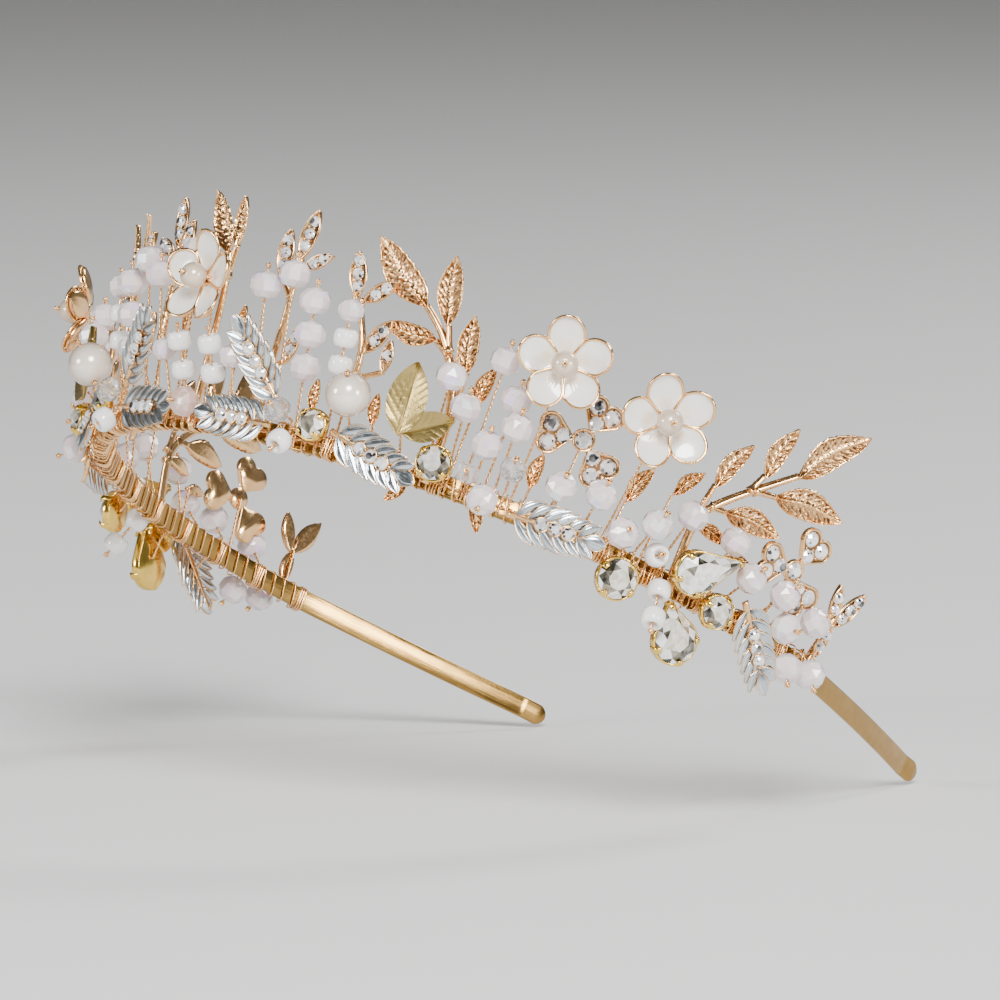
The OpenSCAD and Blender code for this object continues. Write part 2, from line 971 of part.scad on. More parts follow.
module centre_bead() {
    color(pink)
        worn()
            on_band(0)
                bead(centre_bead_place[1], centre_bead_place[2], centre_bead_d,
                     centre_bead_place[1], centre_bead_place[2]);
}

module centre_bead_wire() {
    color(rose_gold)
        worn()
            on_band(0)
                knotted_stem(centre_bead_place[1], centre_bead_place[2], centre_bead_d);
}

// ---------------------------------------------------------------- nodes

band();
rail_wire();
binding_wire();
centre_sprig();
centre_bead();
centre_bead_wire();
inner_branch("right");  // inner_branch_right
inner_branch("left");  // inner_branch_left
outer_branch("right");  // outer_branch_right
outer_branch("left");  // outer_branch_left
antique_leaves("right");  // antique_leaves_right
antique_leaves("left");  // antique_leaves_left
leaf_sprigs("right");  // leaf_sprigs_right
leaf_sprigs("left");  // leaf_sprigs_left
stone_sprays("right");  // stone_sprays_right
stone_sprays("left");  // stone_sprays_left
trefoil("right", inner_trefoil_place);  // inner_trefoil_right
trefoil("left", inner_trefoil_place);  // inner_trefoil_left
trefoil("right", outer_trefoil_place);  // outer_trefoil_right
trefoil("left", outer_trefoil_place);  // outer_trefoil_left
set_stones("right");  // set_stones_right
set_stones("left");  // set_stones_left
silver_leaves("right");  // silver_leaves_right
silver_leaves("left");  // silver_leaves_left
silver_leaf_stones("right");  // silver_leaf_stones_right
silver_leaf_stones("left");  // silver_leaf_stones_left
flower_cup(flower_centre);  // flower_cup_centre
flower_cup(flower_inner);  // flower_cup_inner_right
mirror([1, 0, 0]) flower_cup(flower_inner);  // flower_cup_inner_left
flower_cup(flower_outer);  // flower_cup_outer_right
mirror([1, 0, 0]) flower_cup(flower_outer);  // flower_cup_outer_left
petals(flower_centre);  // petals_centre
petals(flower_inner);  // petals_inner_right
mirror([1, 0, 0]) petals(flower_inner);  // petals_inner_left
petals(flower_outer);  // petals_outer_right
mirror([1, 0, 0]) petals(flower_outer);  // petals_outer_left
flower_pearls();
flower_pins();
round_settings("right");  // round_settings_right
round_settings("left");  // round_settings_left
round_crystals("right");  // round_crystals_right
round_crystals("left");  // round_crystals_left
pear_settings("right");  // pear_settings_right
pear_settings("left");  // pear_settings_left
pear_crystals("right");  // pear_crystals_right
pear_crystals("left");  // pear_crystals_left
opal_beads("right");  // opal_beads_right
opal_beads("left");  // opal_beads_left
opal_beads_centre();
white_beads("right");  // white_beads_right
white_beads("left");  // white_beads_left
white_beads_centre();
clear_beads("right");  // clear_beads_right
clear_beads("left");  // clear_beads_left
bead_stems();
ornament_stems();
large_pearl("right");  // large_pearl_right
large_pearl("left");  // large_pearl_left
large_pearl_wire("right");  // large_pearl_wire_right
large_pearl_wire("left");  // large_pearl_wire_left
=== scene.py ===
"""Looks for the bridal tiara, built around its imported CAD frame.

Laid out as an add-on: property groups hold the sizes and colours, one operator makes
each group of pieces, and a panel lists them. Run as a script it calls them in order.
Shapes are worked out in millimetres and put into their meshes in metres.
"""
import math

import bpy
import numpy as np
from bpy.props import FloatProperty, FloatVectorProperty, IntProperty, PointerProperty
from bpy.types import NodeSocket, Operator, Panel, PropertyGroup
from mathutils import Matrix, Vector


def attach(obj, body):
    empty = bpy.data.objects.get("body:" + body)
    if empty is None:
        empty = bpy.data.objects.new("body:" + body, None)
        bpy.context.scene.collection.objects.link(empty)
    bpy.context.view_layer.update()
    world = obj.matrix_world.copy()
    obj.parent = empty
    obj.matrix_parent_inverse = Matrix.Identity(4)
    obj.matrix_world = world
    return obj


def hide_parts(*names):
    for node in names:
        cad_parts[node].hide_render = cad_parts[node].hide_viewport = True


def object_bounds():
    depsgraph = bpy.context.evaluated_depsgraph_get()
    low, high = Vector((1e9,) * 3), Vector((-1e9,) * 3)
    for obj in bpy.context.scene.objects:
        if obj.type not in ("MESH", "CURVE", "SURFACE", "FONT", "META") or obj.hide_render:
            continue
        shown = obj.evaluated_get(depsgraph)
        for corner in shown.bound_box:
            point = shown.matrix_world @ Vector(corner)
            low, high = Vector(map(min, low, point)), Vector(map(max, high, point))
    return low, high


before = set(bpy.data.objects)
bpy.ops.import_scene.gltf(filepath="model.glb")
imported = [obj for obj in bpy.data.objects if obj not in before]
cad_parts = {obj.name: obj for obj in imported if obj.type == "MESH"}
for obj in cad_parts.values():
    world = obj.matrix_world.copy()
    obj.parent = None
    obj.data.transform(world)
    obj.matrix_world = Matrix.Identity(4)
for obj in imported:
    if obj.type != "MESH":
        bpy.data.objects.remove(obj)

bl_info = {
    "name": "Bridal tiara",
    "version": (1, 0, 0),
    "blender": (4, 5, 0),
    "location": "View3D > Sidebar > Tiara",
    "description": "Builds a bridal tiara's visible pieces around its CAD frame",
    "category": "Mesh",
}

CAD_BOX = [list(corner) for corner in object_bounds()]

# The band, in millimetres and degrees, as the CAD frame has it
BAND_R, BAND_T, BAND_W = 76.0, 0.8, 4.1
BAND_OUT = BAND_R + BAND_T
ARC_HALF, ARM_R, ARM_LEN = 108.0, 365.0, 46.0
TIP_LEN, TIP_FLARE = 5.2, 10.0
WEAR_TILT, GARLAND_LEAN = 29.0, 11.0
STATION_LEN, GARLAND_END = 1.34, 104
GAP = 0.03
RAIL_D = 0.8
# The layer of stalks and stem feet in front of the rail wire
LAYER_T = 0.8
STEM_OFF = RAIL_D + GAP + LAYER_T / 2
FOOT_LOW, FOOT_TOP = -BAND_W / 2 + 0.4, 3.0
CAST_OFF = RAIL_D + GAP
CAST_T = 0.8
# Sprays and trefoils stand in front of the binding wire
SPRAY_OFF = 2.08
# Stations from one binding to the next, and from turn to turn of a binding
WRAP_STEP, WRAP_PITCH = 8, 0.4
# Length of one full twist of the rail wire and of a stem
RAIL_TWIST, STEM_TWIST = 3.2, 2.1
# How far a leaf runs back over its stalk
LEAF_ROOT = 0.4
# How far behind a flower its stem ends and its pin begins
PIN_BACK = 1.2

# Beads on stems: station, stand-off of the last bead, the beads' heights
OPAL_STRINGS = [
    (10.2, 6.5, [26]), (14, 6.5, [29]), (18, 6.5, [13, 19, 25]),
    (38, 6, [19]), (41, 6, [14.5]), (45, 5.5, [9.5]),
    (43.5, 5, [25]), (46.4, 4.5, [19]), (47.8, 6.4, [14.3]), (47, 6, [-0.2]),
    (55.5, 6, [7.5]), (60.5, 6, [9]),
    (65, 6, [4.5]), (68.5, 6.5, [8.5]), (72.3, 6, [13]),
    (83.5, 6, [8]), (79.5, 4.8, [12.5]),
    (89.3, 6, [8.5]), (92, 6, [3.5]), (96.4, 5.5, [7.5]),
    (95.6, 6, [-2.5]), (100, 6, [-1]),
]
SMALL_OPAL_STRINGS = [(6.8, 5, [12]), (23, 6, [25])]
WHITE_STRINGS = [(18.5, 6, [-1.5]), (70.6, 4.5, [3.6]), (73, 8, [-2, -7])]
WHITE_ON_OPAL = (23, 6, 25, [15, 20])
WHITE_CENTRE_STRINGS = [(3.4, 6.5, [8.5, 13.5]), (-2.6, 6.5, [8.5, 13.5])]
OPAL_CENTRE_STRINGS = [(-4.5, 5, [31])]
CLEAR_STRINGS = [(17.4, 7, [4]), (49.2, 6.4, [7])]
CUBE_PLACE = (44, 3.4, 4.9)

# Station, height, stand-off
PEARL_PLACE = (26.5, 10, 7.5)
CENTRE_BEAD_PLACE = (0, 2.4, 5)
# Station, height, stand-off, turn of the first petal from upright, side
FLOWERS = {
    "centre": (1, 25, 7.5, 0, 1),
    "inner_right": (50.3, 28, 9.5, 18, 1), "inner_left": (50.3, 28, 9.5, 18, -1),
    "outer_right": (63.5, 26, 9.5, 30, 1), "outer_left": (63.5, 26, 9.5, 30, -1),
}
# Station, height, stand-off, then diameter, or length, width and turn
ROUND_PLACES = [(22.1, 3, 4, 5.4), (39.5, 3, 4, 6.2), (67, -3.5, 4, 7.4), (80.8, -0.5, 6, 6)]
PEAR_PLACES = [(77, 5.5, 6.6, 13.6, 8, 38), (77.5, -7.5, 3.6, 11.6, 8.4, 128)]
# Station, height, stand-off, direction of the tip, outward tip
SILVER_PLACES = [
    (12, 12, 6.2, 130, 18), (9.4, 1, 4, 180, 0), (31.2, 0.5, 4, -14, 0),
    (57, 0, 4, 5, 0), (88.6, -2.5, 6.4, -42, 0),
]
SILVER_LEN, SILVER_T, LOBES = 18.6, 0.8, 6

# Cast branches: station, stalk, twigs, leaves as (x, y, direction, length)
BRANCHES = {
    "inner": (31,
              [(10.4, -1), (11.5, 9), (10, 18), (5, 26), (0, 30)],
              [[(7, 23), (5.2, 28)], [(7.5, 22), (3.8, 24.5)], [(11.3, 11), (11.5, 20.5)]],
              [(0, 30, 142, 15.5), (5.2, 28, 100, 12.5), (3.8, 24.5, 178, 10),
               (11.5, 20.5, 98, 10.5)]),
    "outer": (82,
              [(-9.5, -1), (-11, 8), (-11.6, 14), (-6, 20), (4, 29)],
              [[(-4, 22), (-2.5, 26)], [(-3, 22.5), (1.5, 23.5)], [(-11.6, 13), (-11, 20)],
               [(-10, 16), (-6.4, 16.5)], [(-11.3, 11), (-10.5, 12)]],
              [(4, 29, 55, 15.5), (-2.5, 26, 84, 10.5), (1.5, 23.5, 8, 14.5),
               (-11, 20, 75, 10), (-6.4, 16.5, 4, 12), (-10.5, 12, -6, 7)]),
    "centre": (-1,
               [(0, -1), (0.5, 16), (0.2, 28), (-1, 32)],
               [[(0.3, 27), (1, 33.5)]],
               [(-1, 32, 118, 12.5), (1, 33.5, 88, 9)]),
}
LEAF_RATIO = 0.42
ANTIQUE_AT, ANTIQUE_OFF, ANTIQUE_RATIO = 34, 5.6, 0.58
ANTIQUE_LEAVES = [(0, 6, 92, 13.5), (1, 6.4, 30, 10)]
SPRIGS = [
    (52, 5, 2.4, 90, 7), (41.5, 15.5, 1.7, 80, 8), (64.2, 10, 2.4, 75, 8),
    (69.5, 15, 2.4, 60, 7), (45.7, -1, 2.6, -60, 6), (80, 9, 1.7, 10, 6),
    (5.5, 16, 2.6, 84, 6), (20.4, 5.5, 2.2, 92, 6), (29.5, 6, 2.4, 95, 6),
    (36.5, -1, 2.6, -115, 6),
]
# Stone-set sprays: station, stalk, twigs, leaves
SPRAYS = [
    (12, [(0, 12), (0.3, 22), (0, 29), (0.4, 32.5)],
     [[(0, 25), (-3, 28.5)], [(0, 28), (2, 31)], [(0, 12), (3.6, 13.5)]],
     [(-3, 28.5, 94, 9), (0.4, 32.5, 82, 9.5), (2, 31, 28, 6.5), (3.6, 13.5, 82, 6.5)]),
    (24.5, [(0.6, 14), (0.4, 20), (-2.2, 25), (-2.8, 28)],
     [[(2, 14), (6, 16)], [(0.6, 14), (2, 14)]],
     [(-3.6, 28, 106, 8.5), (-2, 27.5, 42, 7.5), (1.2, 18.5, 62, 8), (6, 16, 92, 6)]),
    (101.5, [(0, 0.5), (0, 10)], [],
     [(-0.6, 9.5, 112, 7.5), (0.6, 9.5, 66, 9), (0, 2.5, 90, 7)]),
]
SPRAY_RATIO = 0.42
TREFOILS = {"inner": (56, 17), "outer": (90.5, 13.6)}
TREFOIL_TURNS = (190, 75, -40)
TREFOIL_REACH = 5.8
SETTING_WALL = 0.5
CUP_T, ENAMEL_T = 0.6, 0.5

SIDES = {"right": 1, "left": -1}

# The finishes made as materials, by name
MATERIALS = {}


# ---------------------------------------------------------------- sizes and colours

def length(name, text, millimetres):
    return FloatProperty(name=name, description=text, default=millimetres / 1000,
                         min=0, unit="LENGTH", precision=5)


def colour(name, text, value):
    return FloatVectorProperty(name=name, description=text, default=value, size=3,
                               min=0, max=1, subtype="COLOR")


class TiaraSizes(PropertyGroup):
    opal_d: length("Milky bead", "Size of the milky faceted beads", 6)
    small_opal_d: length("Small milky bead", "Size of the smaller milky beads", 5)
    seed_d: length("White bead", "Size of the round white beads", 4.6)
    clear_d: length("Clear bead", "Size of the clear cut beads", 5)
    cube_d: length("Square bead", "Size of the square cut bead", 3.6)
    pearl_d: length("Large pearl", "Size of the two large pearls", 8.4)
    flower_pearl_d: length("Flower pearl", "Size of the pearl in each flower", 5)
    centre_bead_d: length("Centre bead", "Size of the pink bead at the front", 5.9)
    stone_d: length("Small stone", "Size of a stone in a spray or silver leaf", 2.3)
    lobe_stone_d: length("Trefoil stone", "Size of a stone in a trefoil", 3.3)
    stem_d: length("Stem", "Thickness of a twisted stem", 0.56)
    wrap_d: length("Binding wire", "Thickness of the wire bound round the band", 0.36)
    knot_d: length("Knot", "Size of the wire knot on a bead", 1.1)
    petal_reach: length("Petal reach", "From a flower's middle to a petal's middle", 4.9)
    petal_r: length("Petal radius", "Radius of a petal", 3.9)
    facets: IntProperty(name="Bead facets", description="Facets round a cut bead",
                        default=9, min=6, max=16)


class TiaraColours(PropertyGroup):
    band_gold: colour("Band gold", "Polished gold of the band", (0.40, 0.235, 0.065))
    rose_gold: colour("Rose gold", "Bright plating of leaves and wires", (1.0, 0.60, 0.27))
    claw_gold: colour("Claw gold", "Yellow plating of the crystal claws", (0.90, 0.60, 0.12))
    antique_gold: colour("Antique gold", "Brushed gold of the broad leaves", (0.46, 0.34, 0.12))
    silver: colour("Silver", "Pearly silver of the lobed leaves", (0.70, 0.76, 0.80))
    enamel: colour("Enamel", "Ivory enamel of the petals", (0.94, 0.89, 0.82))
    pearl: colour("Pearl", "Lustre of the pearls", (0.96, 0.87, 0.75))
    small_pearl: colour("Flower pearl", "Warmer lustre of the flowers' pearls", (0.80, 0.66, 0.50))
    opal: colour("Milky glass", "Body of the milky beads", (0.89, 0.79, 0.79))
    white: colour("White glass", "Body of the white beads", (0.94, 0.92, 0.90))
    pink: colour("Rose glass", "Body of the centre bead", (0.90, 0.66, 0.56))
    # Painted shade: the colour that the casting's marked hollows are darkened towards.
    recess: colour("Recess", "Darkened hollows of the casting", (0.10, 0.032, 0.012))
    floor: colour("Floor", "Pale studio floor", (0.86, 0.855, 0.85))


def sizes():
    """The sizes of the tiara's small parts, in millimetres, by name."""
    group = bpy.context.scene.tiara_sizes
    return {name: getattr(group, name) * (1 if name == "facets" else 1000)
            for name in TiaraSizes.__annotations__}


# ---------------------------------------------------------------- placing

def turn_x(degrees):
    c, s = math.cos(math.radians(degrees)), math.sin(math.radians(degrees))
    return np.array([[1, 0, 0], [0, c, -s], [0, s, c]])


def turn_z(degrees):
    c, s = math.cos(math.radians(degrees)), math.sin(math.radians(degrees))
    return np.array([[c, -s, 0], [s, c, 0], [0, 0, 1]])


def matrix(turn=np.eye(3), move=(0, 0, 0)):
    made = np.eye(4)
    made[:3, :3], made[:3, 3] = turn, move
    return made


DRAWING = np.array([[1, 0, 0], [0, 0, -1], [0, 1, 0]])


def on_band(station, height=0.0, off=0.0, side=1, lean=GARLAND_LEAN):
    """An ornament's own frame: x along the band, y up, z outwards from its outer face."""
    bearing = math.degrees(station * STATION_LEN / BAND_OUT)
    turn = turn_x(-WEAR_TILT) @ turn_z(bearing)
    foot = turn @ (np.array([0, -BAND_OUT, 0]) + turn_x(lean) @ np.array([0, -off, height]))
    made = matrix(turn @ turn_x(lean) @ DRAWING, foot)
    return matrix(np.diag([side, 1, 1])) @ made


def turned(degrees, x=0.0, y=0.0, z=0.0):
    """Turned in the drawing's plane, then moved to (x, y, z)."""
    return matrix(turn_z(degrees), (x, y, z))


def along(top, off, height):
    """Stand-off of a stem at a height, for a stem that passes through (top, off)."""
    return STEM_OFF + (off - STEM_OFF) * (height - FOOT_TOP) / (top - FOOT_TOP)


def on_stem(station, height, top, top_off, side=1):
    """A bead's frame, its z along the stem that passes through (top, top_off)."""
    up = np.array([0, top - FOOT_TOP, top_off - STEM_OFF], float)
    up /= np.linalg.norm(up)
    across = np.array([1.0, 0, 0])
    turn = np.column_stack([across, np.cross(up, across), up])
    return on_band(station, side=side) @ matrix(turn, (0, height, along(top, top_off, height)))


# ---------------------------------------------------------------- surfaces

class Build:
    """Gathers surfaces and makes them one closed mesh, in the row frame."""

    def __init__(self):
        self.points, self.pits, self.lays = [], [], []
        self.faces, self.tones, self.smooth, self.finishes = [], [], [], []
        self.count = 0

    def add(self, surface, place=np.eye(4), smooth=True, finish=0, tone=0.5, pit=0.0, lay=None):
        """surface is (points, faces). finish picks the piece's material, tone is one number
        a face, pit one a point, and lay the pattern's own coordinates, in millimetres."""
        points, faces = surface
        world = points @ place[:3, :3].T + place[:3, 3]
        turned_over = np.linalg.det(place[:3, :3]) < 0
        self.points.append(world)
        self.pits.append(np.broadcast_to(np.asarray(pit, float), len(points)))
        self.lays.append(points if lay is None else lay)
        total = 0
        for group in faces:
            ordered = group[:, ::-1] if turned_over else group
            self.faces.extend((ordered + self.count).tolist())
            total += len(group)
        self.tones.append(np.broadcast_to(tone, total))
        self.smooth.append(np.full(total, smooth))
        self.finishes.append(np.full(total, finish))
        self.count += len(points)

    def piece(self, name, node, *finishes, body="tiara"):
        """Makes the mesh and its object, which stands for the CAD node and rides on the
        body. Its slot is the first finish's."""
        mesh = bpy.data.meshes.new(name)
        mesh.from_pydata((np.concatenate(self.points) / 1000).tolist(), [], self.faces)
        for label, kind, domain, field, values in (
            ("tone", "FLOAT", "FACE", "value", self.tones),
            ("pit", "FLOAT", "POINT", "value", self.pits),
            ("lay", "FLOAT_VECTOR", "POINT", "vector", self.lays),
        ):
            data = np.concatenate(values).astype(np.float32).ravel()
            mesh.attributes.new(label, kind, domain).data.foreach_set(field, data)
        mesh.polygons.foreach_set("use_smooth", np.concatenate(self.smooth))
        for finish in finishes:
            mesh.materials.append(MATERIALS[finish])
        mesh.polygons.foreach_set("material_index", np.concatenate(self.finishes))
        mesh.update()
        made = bpy.data.objects.new(name, mesh)
        bpy.context.scene.collection.objects.link(made)
        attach(made, body)
        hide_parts(node)


def skin(rings, path_closed=False, caps=True):
    """Joins ring i to ring i+1, point by point. Rings run counter-clockwise seen from
    ahead, so faces point outwards. Open paths get a flat face at each end."""
    n, k = rings.shape[:2]
    i, j = np.meshgrid(np.arange(n if path_closed else n - 1), np.arange(k), indexing="ij")
    here, there = i * k, ((i + 1) % n) * k
    quads = np.stack([here + j, here + (j + 1) % k, there + (j + 1) % k, there + j], -1)
    faces = [quads.reshape(-1, 4)]
    if caps and not path_closed:
        last = np.arange(k)
        faces += [last[::-1][None], (last + (n - 1) * k)[None]]
    return rings.reshape(-1, 3), faces


def sweep(path, profile, across, closed=False, scale=1.0):
    """Carries a profile along a path: each ring is the path's point plus the profile in
    the plane square to the path, whose first axis is the part of across in that plane."""
    if closed:
        ahead = np.roll(path, -1, 0) - np.roll(path, 1, 0)
    else:
        ahead = np.gradient(path, axis=0)
    ahead /= np.linalg.norm(ahead, axis=1, keepdims=True)
    first = np.asarray(across, float) - (ahead @ np.asarray(across, float))[:, None] * ahead
    first /= np.linalg.norm(first, axis=1, keepdims=True)
    second = np.cross(ahead, first)
    size = np.broadcast_to(np.asarray(scale, float), (len(path),))[:, None, None]
    rings = path[:, None] + size * (profile[None, :, :1] * first[:, None]
                                    + profile[None, :, 1:] * second[:, None])
    return skin(rings, path_closed=closed)


def circle(radius, sides, squash=1.0):
    a = np.linspace(0, 2 * np.pi, sides, endpoint=False)
    return np.stack([radius * np.cos(a), radius * squash * np.sin(a)], -1)


def tube(path, radius, across, sides=6, closed=False):
    return sweep(path, circle(radius, sides), across, closed)


def resampled(path, step):
    """The path's polyline with its points a step apart, bends rounded over four steps."""
    reach = np.r_[0, np.cumsum(np.linalg.norm(np.diff(path, axis=0), axis=1))]
    even = np.linspace(0, reach[-1], max(4, int(reach[-1] / step)))
    out = np.stack([np.interp(even, reach, path[:, i]) for i in range(path.shape[1])], -1)
    padded = np.concatenate([np.repeat(out[:1], 2, 0), out, np.repeat(out[-1:], 2, 0)])
    soft = (padded[:-4] + padded[1:-3] + padded[2:-2] + padded[3:-1] + padded[4:]) / 5
    soft[0], soft[-1] = out[0], out[-1]
    return soft


def twisted_pair(path, thick, across, pitch, sides=5):
    """Two strands wound round the path: each is the path plus a quarter of the thickness
    turning once a pitch, the second half a turn behind the first."""
    ahead = np.gradient(path, axis=0)
    ahead /= np.linalg.norm(ahead, axis=1, keepdims=True)
    first = np.asarray(across, float) - (ahead @ np.asarray(across, float))[:, None] * ahead
    first /= np.linalg.norm(first, axis=1, keepdims=True)
    second = np.cross(ahead, first)
    reach = np.r_[0, np.cumsum(np.linalg.norm(np.diff(path, axis=0), axis=1))]
    strands = []
    for start in (0, np.pi):
        a = (start + 2 * np.pi * reach / pitch)[:, None]
        line = path + thick / 4 * (np.cos(a) * first + np.sin(a) * second)
        strands.append(tube(line, thick / 4 * 1.06, across, sides))
    return strands


def lathe(profile, sides):
    """Turns a closed profile of (radius, height) points round the z axis."""
    a = np.linspace(0, 2 * np.pi, sides, endpoint=False)
    r, h = profile[:, :1], profile[:, 1:]
    rings = np.stack([r * np.cos(a), r * np.sin(a), np.broadcast_to(h, (len(r), sides))], -1)
    return skin(rings, path_closed=True)


def smooth_step(low, high, x):
    t = np.clip((x - low) / (high - low), 0, 1)
    return t * t * (3 - 2 * t)


def blade(x, half, front, back, middle=0.0, bow=0.0, across=25, under=7):
    """A closed leaf-shaped sheet. Across each station x it runs from -half to half, its
    back flat at the height back. front(x, v, half) gives the front's height and its pit,
    v being the place across from -1 to 1. middle shifts the stations sideways and bow
    lifts them."""
    v = np.sin(np.linspace(-np.pi / 2, np.pi / 2, across))
    w = np.linspace(1, -1, under + 2)[1:-1]
    xs, hs = x[:, None], half[:, None]
    mid = np.broadcast_to(middle, x.shape)[:, None]
    lift = np.broadcast_to(bow, x.shape)[:, None]
    height, pit = front(xs, v[None], hs)
    top = np.stack([xs + 0 * v, mid + hs * v, height + lift], -1)
    low = np.stack([xs + 0 * w, mid + hs * w * 0.97, back + lift + 0 * w], -1)
    rings = np.concatenate([top, low], 1)
    pits = np.concatenate([pit, np.zeros((len(x), under))], 1)
    return skin(rings[:, ::-1]), pits[:, ::-1].ravel()


def lens(x, span, width):
    """Half width of a leaf between two circular arcs that meet at its ends."""
    r = (span * span + width * width) / (4 * width)
    return np.sqrt(np.maximum(r * r - (span / 2 - x) ** 2, 0)) - (r - width / 2)


def stalk_profile(width, height):
    """A flat back and a domed front with a ridge, counter-clockwise from one edge."""
    a = np.linspace(-np.pi / 2, np.pi / 2, 9)
    front = np.stack([height * np.cos(a) ** 0.8 + 0.12 * np.exp(-(a / 0.3) ** 2),
                      width / 2 * np.sin(a)], -1)
    back = np.stack([np.zeros(3), np.linspace(width / 2, -width / 2, 5)[1:-1]], -1)
    return np.concatenate([front, back])


# ---------------------------------------------------------------- cast leaves

def cast_leaf(span, width, thick):
    """Half width is a lens, a little fuller near the base. The front is a floor plus a
    raised rim, a midrib that fades to the tip, and herringbone veins: ridges where the
    distance along the leaf less that across it is a whole number of pitches."""
    step = 0.2
    x = np.linspace(0, span, int(span / step))
    u = x / span
    half = np.maximum(lens(x, span, width) * (1.08 - 0.22 * u), 0.34 * (1 - u) + 0.05)
    half *= 1 + 0.03 * np.sin(2 * np.pi * u * 8) * smooth_step(0.15, 0.4, u)
    middle = 0.05 * span * np.sin(np.pi * u) ** 2
    bow = 0.16 * span * (u - 0.25) ** 2

    def front(xs, v, hs):
        a = np.abs(v)
        us = xs / span
        rim = smooth_step(0.76, 0.9, a) * (1 - 0.4 * smooth_step(0.94, 1, a))
        rib = np.exp(-(v * hs / 0.27) ** 2) * (1 - 0.55 * us)
        phase = (xs - 1.35 * a * hs) / 1.35 + 0.12 * np.sin(3.1 * xs)
        vein = np.exp(-(np.sin(np.pi * phase) / 0.38) ** 2)
        field = (1 - rim) * (1 - rib)
        field = field * smooth_step(0.02, 0.12, us) * (1 - smooth_step(0.86, 0.96, us))
        hollow = field * (1 - vein)
        height = 0.72 * thick + 0.24 * rim + 0.42 * rib + 0.2 * vein * field - 0.46 * hollow
        ragged = 0.75 + 0.5 * np.sin(5.3 * xs + 3 * v) * np.sin(2.1 * xs)
        # Painted shade: the hollows between the veins, made a little ragged, are marked through
        # pit for darkening.
        dark = smooth_step(0.4, 0.95, hollow) * smooth_step(0.06, 0.35, a)
        return height, np.clip(ragged * dark, 0, 1)

    return blade(x, half, front, 0.0, middle, bow, across=29)


def antique_leaf(span, width, thick):
    """A broad folded leaf: its front rises from the midrib to the edges, and fine grooves
    run off the midrib."""
    x = np.linspace(0, span, int(span / 0.22))
    u = x / span
    half = np.maximum(lens(x, span, width) * (1.05 - 0.15 * u), 0.12)
    bow = 1.1 * (u - 0.3) ** 2

    def front(xs, v, hs):
        a = np.abs(v)
        us = xs / span
        rib = np.exp(-(v * hs / 0.2) ** 2)
        phase = (xs - 1.0 * a * hs) / 1.6
        groove = np.exp(-(np.sin(np.pi * phase) / 0.2) ** 2)
        groove = groove * smooth_step(0.05, 0.2, a) * (1 - smooth_step(0.8, 1, us))
        height = thick * 0.7 + 0.75 * a * smooth_step(0, 0.2, us) - 0.22 * rib - 0.12 * groove
        return height, np.clip(0.9 * rib + 0.8 * groove, 0, 1)

    return blade(x, half, front, 0.0, 0.0, bow, across=31)


def setting_leaf(span, width, thick):
    """A leaf that holds stones: a floor inside a smooth raised rim, the floor marked for painted
    shade.
    """
    x = span / 2 - span / 2 * np.cos(np.linspace(0, np.pi, 34))
    half = np.maximum(lens(x, span, width) * 1.04, 0.12)

    def front(xs, v, hs):
        inner = np.clip(1 - 0.38 / hs, 0, 0.9)
        a = np.abs(v)
        rim = smooth_step(inner - 0.12, inner + 0.05, a) * (1 - 0.5 * smooth_step(0.93, 1, a))
        ends = 1 - smooth_step(0.0, 0.09, xs / span) * (1 - smooth_step(0.9, 1, xs / span))
        rim = np.maximum(rim, ends)
        return 0.45 * thick + 0.55 * rim, 0.8 * (1 - rim)

    return blade(x, half, front, 0.0, across=19)


def smooth_path(points):
    """A rounded line through the stalk's points, by splitting and averaging three times,
    with a point every 0.4 mm."""
    p = np.array([(x, y, 0) for x, y in points], float)
    for _ in range(3):
        q = np.empty((2 * len(p) - 1, 3))
        q[0::2], q[1::2] = p, (p[1:] + p[:-1]) / 2
        q[1:-1] = (q[:-2] + 2 * q[1:-1] + q[2:]) / 4
        q[0], q[-1] = p[0], p[-1]
        p = q
    return resampled(p, 0.4)


def add_stalk(build, place, points, width, height, taper, flare=0.0):
    """A stalk that narrows by the share taper, widens by flare at its root, and has a
    faint hand-made wave."""
    path = smooth_path(points)
    u = np.linspace(0, 1, len(path))
    scale = 1 - taper * u + flare * np.exp(-(u / 0.12) ** 2)
    rings, faces = sweep(path, stalk_profile(width, height), (0, 0, 1), scale=scale)
    wave = 0.04 * np.sin(rings[:, 0] * 7 + rings[:, 1] * 5)
    rings = rings + np.stack([wave, -wave, 0 * wave], -1)
    build.add((rings, faces), place)


# ---------------------------------------------------------------- cut stones and beads

def cut_stone(outline, low, high):
    """A crown with a table, eight star facets, eight kites and sixteen girdle facets.
    outline holds sixteen points; rings between it and the middle are shares of it."""
    g = np.asarray(outline)
    middle = g.mean(0)
    table = middle + 0.54 * (g[0::2] - middle)
    star = middle + 0.80 * (g[1::2] - middle)
    rise = high - low
    under = middle + 0.94 * (g - middle)
    points = np.concatenate([
        np.c_[table, np.full(8, high)], np.c_[star, np.full(8, low + 0.66 * rise)],
        np.c_[g, np.full(16, low + 0.3 * rise)], np.c_[under, np.full(16, low)],
    ])
    i = np.arange(8)
    j = np.arange(16)
    before, after = (i - 1) % 8, (i + 1) % 8
    faces = [
        i[None],
        np.stack([i, 8 + i, after], -1),
        np.stack([i, 8 + before, 16 + 2 * i, 8 + i], -1),
        np.stack([8 + i, 16 + 2 * i, 16 + 2 * i + 1], -1),
        np.stack([8 + i, 16 + 2 * i + 1, 16 + (2 * i + 2) % 16], -1),
        np.stack([16 + j, 32 + j, 32 + (j + 1) % 16, 16 + (j + 1) % 16], -1),
        (32 + j)[::-1][None],
    ]
    return points, faces


